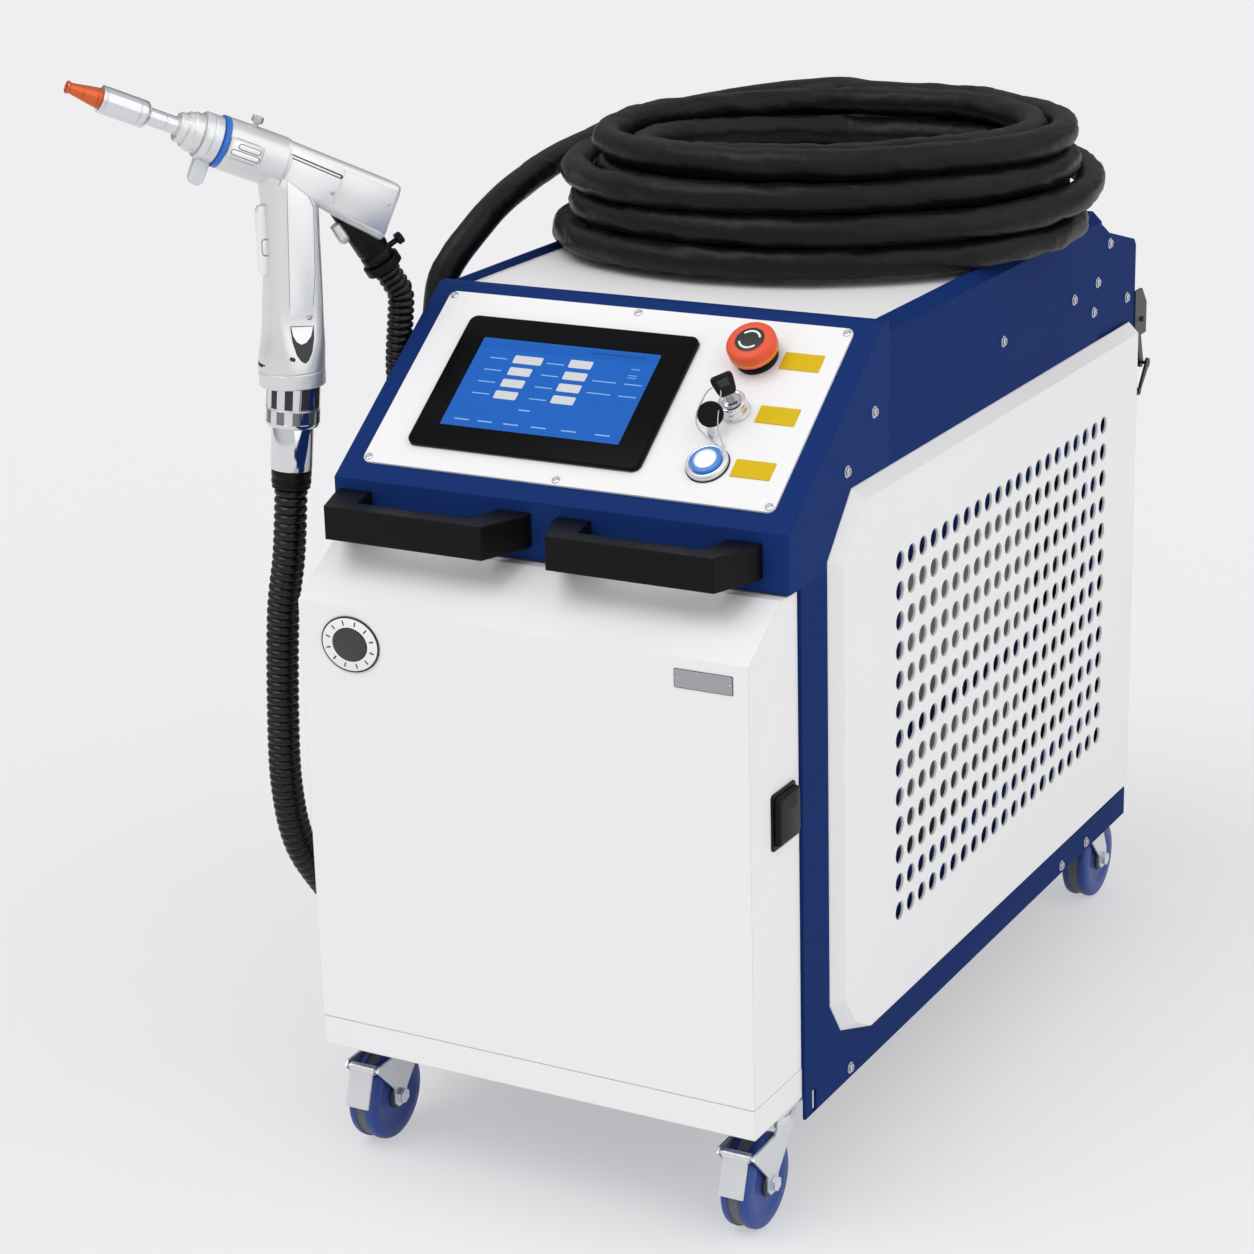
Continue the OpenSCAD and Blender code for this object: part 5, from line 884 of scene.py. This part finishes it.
def make_controls():
    c = control(*STOP_PLACE)
    lathe("stop_collar", [(0, 2.3), (21, 2.3), (21.6, 2.8), (21.6, 4.4), (20.6, 5.6), (18.6, 7.2),
            (15, 7.6), (0, 7.6)], "black_plastic", c, 56)
    profile = [(0, 7), (8, 7), (8, 12), (20, 12.4), (23.8, 13.2), (25.0, 14.6), (25.3, 16.4), (25.3, 17.2),
               (25.3, 18.6), (25.35, 24.6), (24.9, 27.0), (23.6, 28.9), (21.2, 30.1), (18, 30.6),
               (15.6, 30.6), (15.2, 30.3), (0, 30.3)]
    bands = [0] * 16
    bands[7] = 1
    o = lathe("stop_button_head", profile, ("red", "yellow"), c, 72, "stop_head", bands)
    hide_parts("stop_head")
    lathe("stop_top_disc", [(0, 30.2), (15.0, 30.2), (14.9, 30.6), (14.2, 30.75), (0, 30.75)],
          "badge_black", c, 48, "stop_head")
    # Two plain turning marks on the disc, as such buttons have
    for k in (0, 1):
        pts = []
        a0 = 180 * k + 20
        for i in range(13):
            a = radians(a0 + 120 * i / 12)
            pts.append((11.6 * cos(a), 11.6 * sin(a)))
        for i in range(13):
            a = radians(a0 + 120 - 120 * i / 12)
            pts.append((9.4 * cos(a), 9.4 * sin(a)))
        plate("stop_mark_%d" % k, pts, 30.7, 30.9, 0.05, "badge_white", c, 1, "stop_head")
    # Key switch
    c = control(*KEY_PLACE)
    o = lathe("key_bezel_ring", [(0, 2.3), (14.5, 2.3), (14.9, 2.8), (14.9, 5.4), (14.3, 6.0), (14.3, 12.0),
            (13.9, 12.6), (13.9, 13.4), (14.3, 14.0), (14.3, 18.2), (13.4, 19.6), (11.6, 20.0),
            (10.0, 19.6), (9.2, 18.6), (0, 18.6)], "chrome", c, 60)
    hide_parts("control_bezels")
    key = c @ rot("Z", KEY_TURN)
    plug = lathe("key_plug", [(0, 18), (8.9, 18), (8.9, 20.0), (8.2, 20.3), (0, 20.3)], "screw", c, 40,
                 "switch_key")
    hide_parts("switch_key")
    def upright(name, outline, t, bevel, material):
        """A flat key part standing on edge: outline in (width, up), thickness t."""
        return plate(name, outline, -t / 2, t / 2, bevel, material, key @ STANDING, 3, "switch_key")

    upright("key_blade", rounded(8, 11, 0.6, 2, -4, 19.5), 2.2, 0.3, "screw")
    head = [(-6.5, 29), (6.5, 29), (8.2, 30.6), (9.6, 36), (11.2, 50), (11.0, 53.6), (8.8, 56.4),
            (-8.8, 56.4), (-11.0, 53.6), (-11.2, 50), (-9.6, 36), (-8.2, 30.6)]
    upright("key_head", head, 5, 1.2, "black_plastic")
    upright("key_head_recess", rounded(13, 12, 2.0, 4, -6.5, 42.5), 5.2, 0.1, "dark")
    # The ribs are blue-grey as a painted highlight near the top of the key's head
    for i in range(4):
        upright("key_rib_%d" % i, rounded(9.5, 0.7, 0.3, 2, -4.75, 44.2 + i * 2.5), 5.5, 0.08, "key_rib")
    # Spare key: round head and wire loop, hanging from the key's hole
    loop = smooth_points([(4.3, 0, 42), (9.5, 1.6, 46.5), (16.5, 1.4, 44.8), (24, 4.5, 40.2), (33, 9, 33),
            (38.2, 15, 25.5), (37.6, 21.5, 19), (33.5, 28, 13), (29, 34.5, 7.8), (25.0, 39.2, 4.2),
            (23.0, 38.6, 4.4), (22.2, 31, 10), (20.6, 23, 17.4), (16.5, 16.4, 24.2), (10, 8.6, 32),
            (6, 3.4, 37.6), (4.3, 0, 42)], 6)
    tube("spare_ring", loop, lambda i, t: 0.75, 10, "screw", key, "spare_key")
    disc = key @ at(22.9, 13.1, 26) @ rot("X", 32)
    o = lathe("spare_head", [(0, -1.95), (11.4, -1.95), (12.5, -1.5), (12.9, -0.8), (12.9, 0.8),
            (12.5, 1.5), (11.4, 1.95), (10.2, 2.0), (9.8, 1.6), (0, 1.6)], "black_plastic",
            disc @ rot("X", -90), 48, "spare_key")
    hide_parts("spare_key")
    pts = [(-3.3, -22), (-1.4, -25.3), (1.4, -25.3), (3.3, -22), (2.6, -20.4), (3.3, -18.8), (3.3, -16.4),
           (2.6, -15.6), (3.3, -14.4), (3.3, -9), (-3.3, -9)]
    plate("spare_blade", pts, -1.0, 1.0, 0.25, "screw", disc @ rot("Y", -21) @ STANDING, 2, "spare_key")
    # Start button with its lit ring
    c = control(*START_PLACE)
    lathe("start_gasket", [(0, 2.3), (22.4, 2.3), (22.4, 3.4), (0, 3.4)], "dark", c, 64)
    lathe("start_bezel", [(0, 3.0), (21.0, 3.0), (21.4, 3.6), (21.4, 6.6), (20.6, 8.4), (19.4, 9.4),
            (18.2, 9.6), (17.4, 9.2), (17.2, 7.0), (0, 7.0)], "chrome_light", c, 72)
    prof = [(0, 6.8), (16.0, 6.8), (16.0, 10.4), (15.2, 11.6), (13.6, 12.0), (11.8, 12.0), (11.4, 11.8),
            (10.0, 11.7), (0, 11.5)]
    o = lathe("start_cap", prof, ("chrome_light", "start_blue", "start_grey", "start_glow"), c, 64,
              "start_button", [0, 1, 1, 1, 1, 2, 2, 3])
    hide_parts("start_button")


# Door: badge, nameplate, side latch
def make_door_pieces():
    front = CAB @ STANDING
    def ellipse(w, h, n=64):
        return [(w * cos(2 * pi * i / n), h * sin(2 * pi * i / n)) for i in range(n)]
    c = front @ at(-190, 572, 0)
    o = plate("badge_rim", ellipse(34, 29), -0.2, 1.7, 0.5, "badge_black", c, 2, "door")
    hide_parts("door_badges")
    plate("badge_ring", ellipse(32.2, 27.2), 1.0, 1.95, 0.2, "badge_white", c, 2, "door")
    plate("badge_core_line", ellipse(20.6, 17.6), 1.5, 2.05, 0.05, "badge_black", c, 1, "door")
    plate("badge_core", ellipse(19.4, 16.5), 1.6, 2.8, 0.4, "badge_grey", c, 2, "door")
    for k in range(12):
        a = 2 * pi * (k + 0.5) / 12
        x, y = 26.4 * cos(a), 22.4 * sin(a)
        d = Vector((cos(a), sin(a))).normalized()
        plate("badge_tick_%d" % k, bar(x - d.x * 1.9, y - d.y * 1.9, x + d.x * 1.9, y + d.y * 1.9, 1.5),
              1.8, 2.1, 0.05, "badge_black", c, 1, "door")
    plate("nameplate_back", rounded(62, 19, 1.0, 3, 172, 581), -0.2, 0.7, 0.2, "plate_dark", front, 1,
          "door")
    plate("nameplate_face", rounded(60.6, 17.6, 0.8, 3, 172.7, 581.7), 0.5, 0.95, 0.15, "plate", front, 1,
          "door")
    for x in (175.5, 230.5):
        lathe("nameplate_rivet_%d" % int(x), [(0, 0.9), (1.5, 0.9), (1.3, 1.0), (0, 1.0)], "screw",
              front @ at(x, 590.5, 0), 20, "door")
    # Latch: base with ears and a rounded paddle
    side = CAB @ RIGHTWARD
    plate("latch_base", rounded(51, 58, 4, 5, 42, 411), 249.9, 252.2, 0.6, "black_plastic", side, 2, "door")
    rows = []
    for x, k in ((252.6, 0.0), (253.6, 0.0), (256.4, 0.6), (257.6, 1.6), (258.2, 3.4)):
        rows.append(level(rounded(47 - 2 * k, 51 - 2 * k, 5, 6, 45.5 + k, 414.5 + k), x))
    paddle = loft("latch_paddle", rows, "black_plastic", side, "door_latch")
    plate("latch_finger_rim", rounded(30, 14, 5, 5, 53, 447), 258.0, 258.3, 0.1, "dark", side, 1,
          "door_latch")
    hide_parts("door_latch")


# Casters: two-part tyres with their hubs, and the axles' bolts
def make_wheels():
    half = [(5.1, -18), (13.6, -18), (15, -17.4), (15, -14.6), (28, -14.0), (31.5, -15.6), (36, -16),
            (44.6, -15.6), (47.6, -13.8), (48.7, -11.6), (49, -9), (49, -6.2), (47.5, -6)]
    profile = half + [(r, -h) for r, h in reversed(half)]
    bands = []
    for (r0, h0), (r1, h1) in zip(profile, profile[1:]):
        groove = min(r0, r1) >= 47.4 and max(abs(h0), abs(h1)) <= 6.3
        hub = max(r0, r1) <= 15.1
        bands.append(1 if groove else 2 if hub else 0)
    bolt = [(0, 21), (8.2, 21), (8.6, 21.3), (8.6, 22.2), (7.0, 22.6), (6.9, 25.2), (6.0, 25.9), (0, 25.9)]
    for key in CORNERS:
        side = -1 if key[1] == "l" else 1
        centre = CAB @ at(side * WHEEL_X, WHEEL_REAR_Y if key[0] == "r" else WHEEL_FRONT_Y, WHEEL_Z)
        o = lathe("wheel_piece_" + key, profile, ("tyre", "tyre_band", "dark_metal"), centre @ rot("Y", 90),
                  72, "wheel_" + key, bands)
        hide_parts("caster_wheel_" + key)
        for s, end in ENDS:
            lathe("hub_bolt_%s_%s" % (key, end), bolt, "screw", centre @ rot("Y", 90 * s),
                  6 if s > 0 else 24, "fork_" + key)


# Screws of the shells and the fascia
def socket_screw(name, x, y, z, turn):
    r = 4.6
    profile = [(0, -0.2), (r + 1.6, -0.2), (r + 1.6, 0.7), (r, 1.0), (r, 2.4), (r * 0.86, 3.0),
               (r * 0.55, 3.1), (r * 0.5, 1.6), (0, 1.6)]
    return lathe(name, profile, "screw", CAB @ at(x, y, z) @ turn, 28)


def make_fasteners():
    first = None
    side_screws = ((916, 832), (879, 794), (806, 789), (868, 762), (600, 787), (271, 789), (208, 745),
                   (210, 111), (800, 110), (880, 110))
    for i, (y, z) in enumerate(side_screws):
        for s, end in ENDS:
            o = socket_screw("side_screw_%d_%s" % (i, end), s * SHELL_SIDE, y, z, rot("Y", 90 * s))
            first = first or o
    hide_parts("cabinet_fasteners")
    for s, end in ENDS:
        socket_screw("rear_screw_" + end, s * 250.6, 984, 755, rot("Y", 90 * s))
    profile = [(0, -0.2), (4.2, -0.2), (4.3, 0.4), (3.8, 1.2), (2.6, 1.5), (2.2, 1.0), (0, 1.0)]
    for i, (x, s) in enumerate(((-225, 28), (-225, 245), (223, 28), (223, 245), (-8, 28), (-8, 245))):
        lathe("fascia_screw_%d" % i, profile, "screw", FACE @ at(x, s, 2.5), 28)


# Light: strengths, the ways that the suns shine, and where the world turns from dim to bright
BRIGHT_WAY = (0.20, -0.42, 0.88)
WORLD_DIM, WORLD_BRIGHT, KEY, FILL, FLOOR_GLOW = 0.20, 0.71, 0.95, 0.78, 0.55
DIM_BELOW, BRIGHT_ABOVE = -0.35, 0.55
KEY_WAY, KEY_ANGLE = (0.30, 0.50, -0.95), 40
FILL_WAY, FILL_ANGLE = (-0.95, 0.12, -0.45), 80
FLOOR_HALF = 60.0


def make_studio():
    """A seamless pale floor that keeps the soft shadow, a high sun from the front, a wide one from the right,
    and a world that is bright above the front and dim behind."""
    mesh = bpy.data.meshes.new("floor")
    s = FLOOR_HALF
    mesh.from_pydata([(-s, -s, 0), (s, -s, 0), (s, s, 0), (-s, s, 0)], [], [(0, 1, 2, 3)])
    floor = bpy.data.objects.new("floor", mesh)
    scene.collection.objects.link(floor)
    k = Nodes(bpy.data.materials.new("floor_paper"))
    k.put(k.shader, {"Roughness": 0.9, "Specular IOR Level": 0.0, "Base Color": srgb(241, 241, 242)})
    glow = k.add("ShaderNodeEmission", {"Color": srgb(235, 235, 237), "Strength": 1.0})
    path = k.add("ShaderNodeLightPath")
    seen = k.add("ShaderNodeMath", operation="MAXIMUM")
    share = k.add("ShaderNodeMath", {1: FLOOR_GLOW}, operation="MULTIPLY")
    k.link(path.outputs["Is Camera Ray"], seen.inputs[0])
    k.link(path.outputs["Is Glossy Ray"], seen.inputs[1])
    k.link(seen.outputs[0], share.inputs[0])
    k.blend(share.outputs[0], k.shader, glow, "Material Output")
    mesh.materials.append(k.owner)
    world = Nodes(bpy.data.worlds.new("studio"))
    lamp = world.put(world.tree.nodes["Background"], {"Color": (1.0, 1.0, 1.0, 1.0)})
    way = world.add("ShaderNodeTexCoord")
    dot = world.add("ShaderNodeVectorMath", {1: Vector(BRIGHT_WAY).normalized()}, operation="DOT_PRODUCT")
    ramp = world.add("ShaderNodeMapRange", {"From Min": DIM_BELOW, "From Max": BRIGHT_ABOVE,
            "To Min": WORLD_DIM, "To Max": WORLD_BRIGHT}, interpolation_type="SMOOTHSTEP")
    world.link(way.outputs["Generated"], dot.inputs[0])
    world.link(dot.outputs["Value"], ramp.inputs["Value"])
    world.link(ramp.outputs["Result"], lamp.inputs["Strength"])
    pale = world.add("ShaderNodeBackground", {"Color": srgb(237, 237, 239)})
    path = world.add("ShaderNodeLightPath")
    world.blend(path.outputs["Is Camera Ray"], lamp, pale, "World Output")
    scene.world = world.owner
    for name, strength, angle, direction in (("key", KEY, KEY_ANGLE, KEY_WAY),
            ("fill", FILL, FILL_ANGLE, FILL_WAY)):
        data = bpy.data.lights.new(name, "SUN")
        data.energy = strength
        data.angle = radians(angle)
        o = bpy.data.objects.new(name, data)
        o.rotation_euler = Vector(direction).to_track_quat("-Z", "Y").to_euler()
        scene.collection.objects.link(o)
    scene.view_settings.view_transform = "Standard"


make_screen()
make_controls()
make_door_pieces()
make_wheels()
make_fasteners()
make_studio()
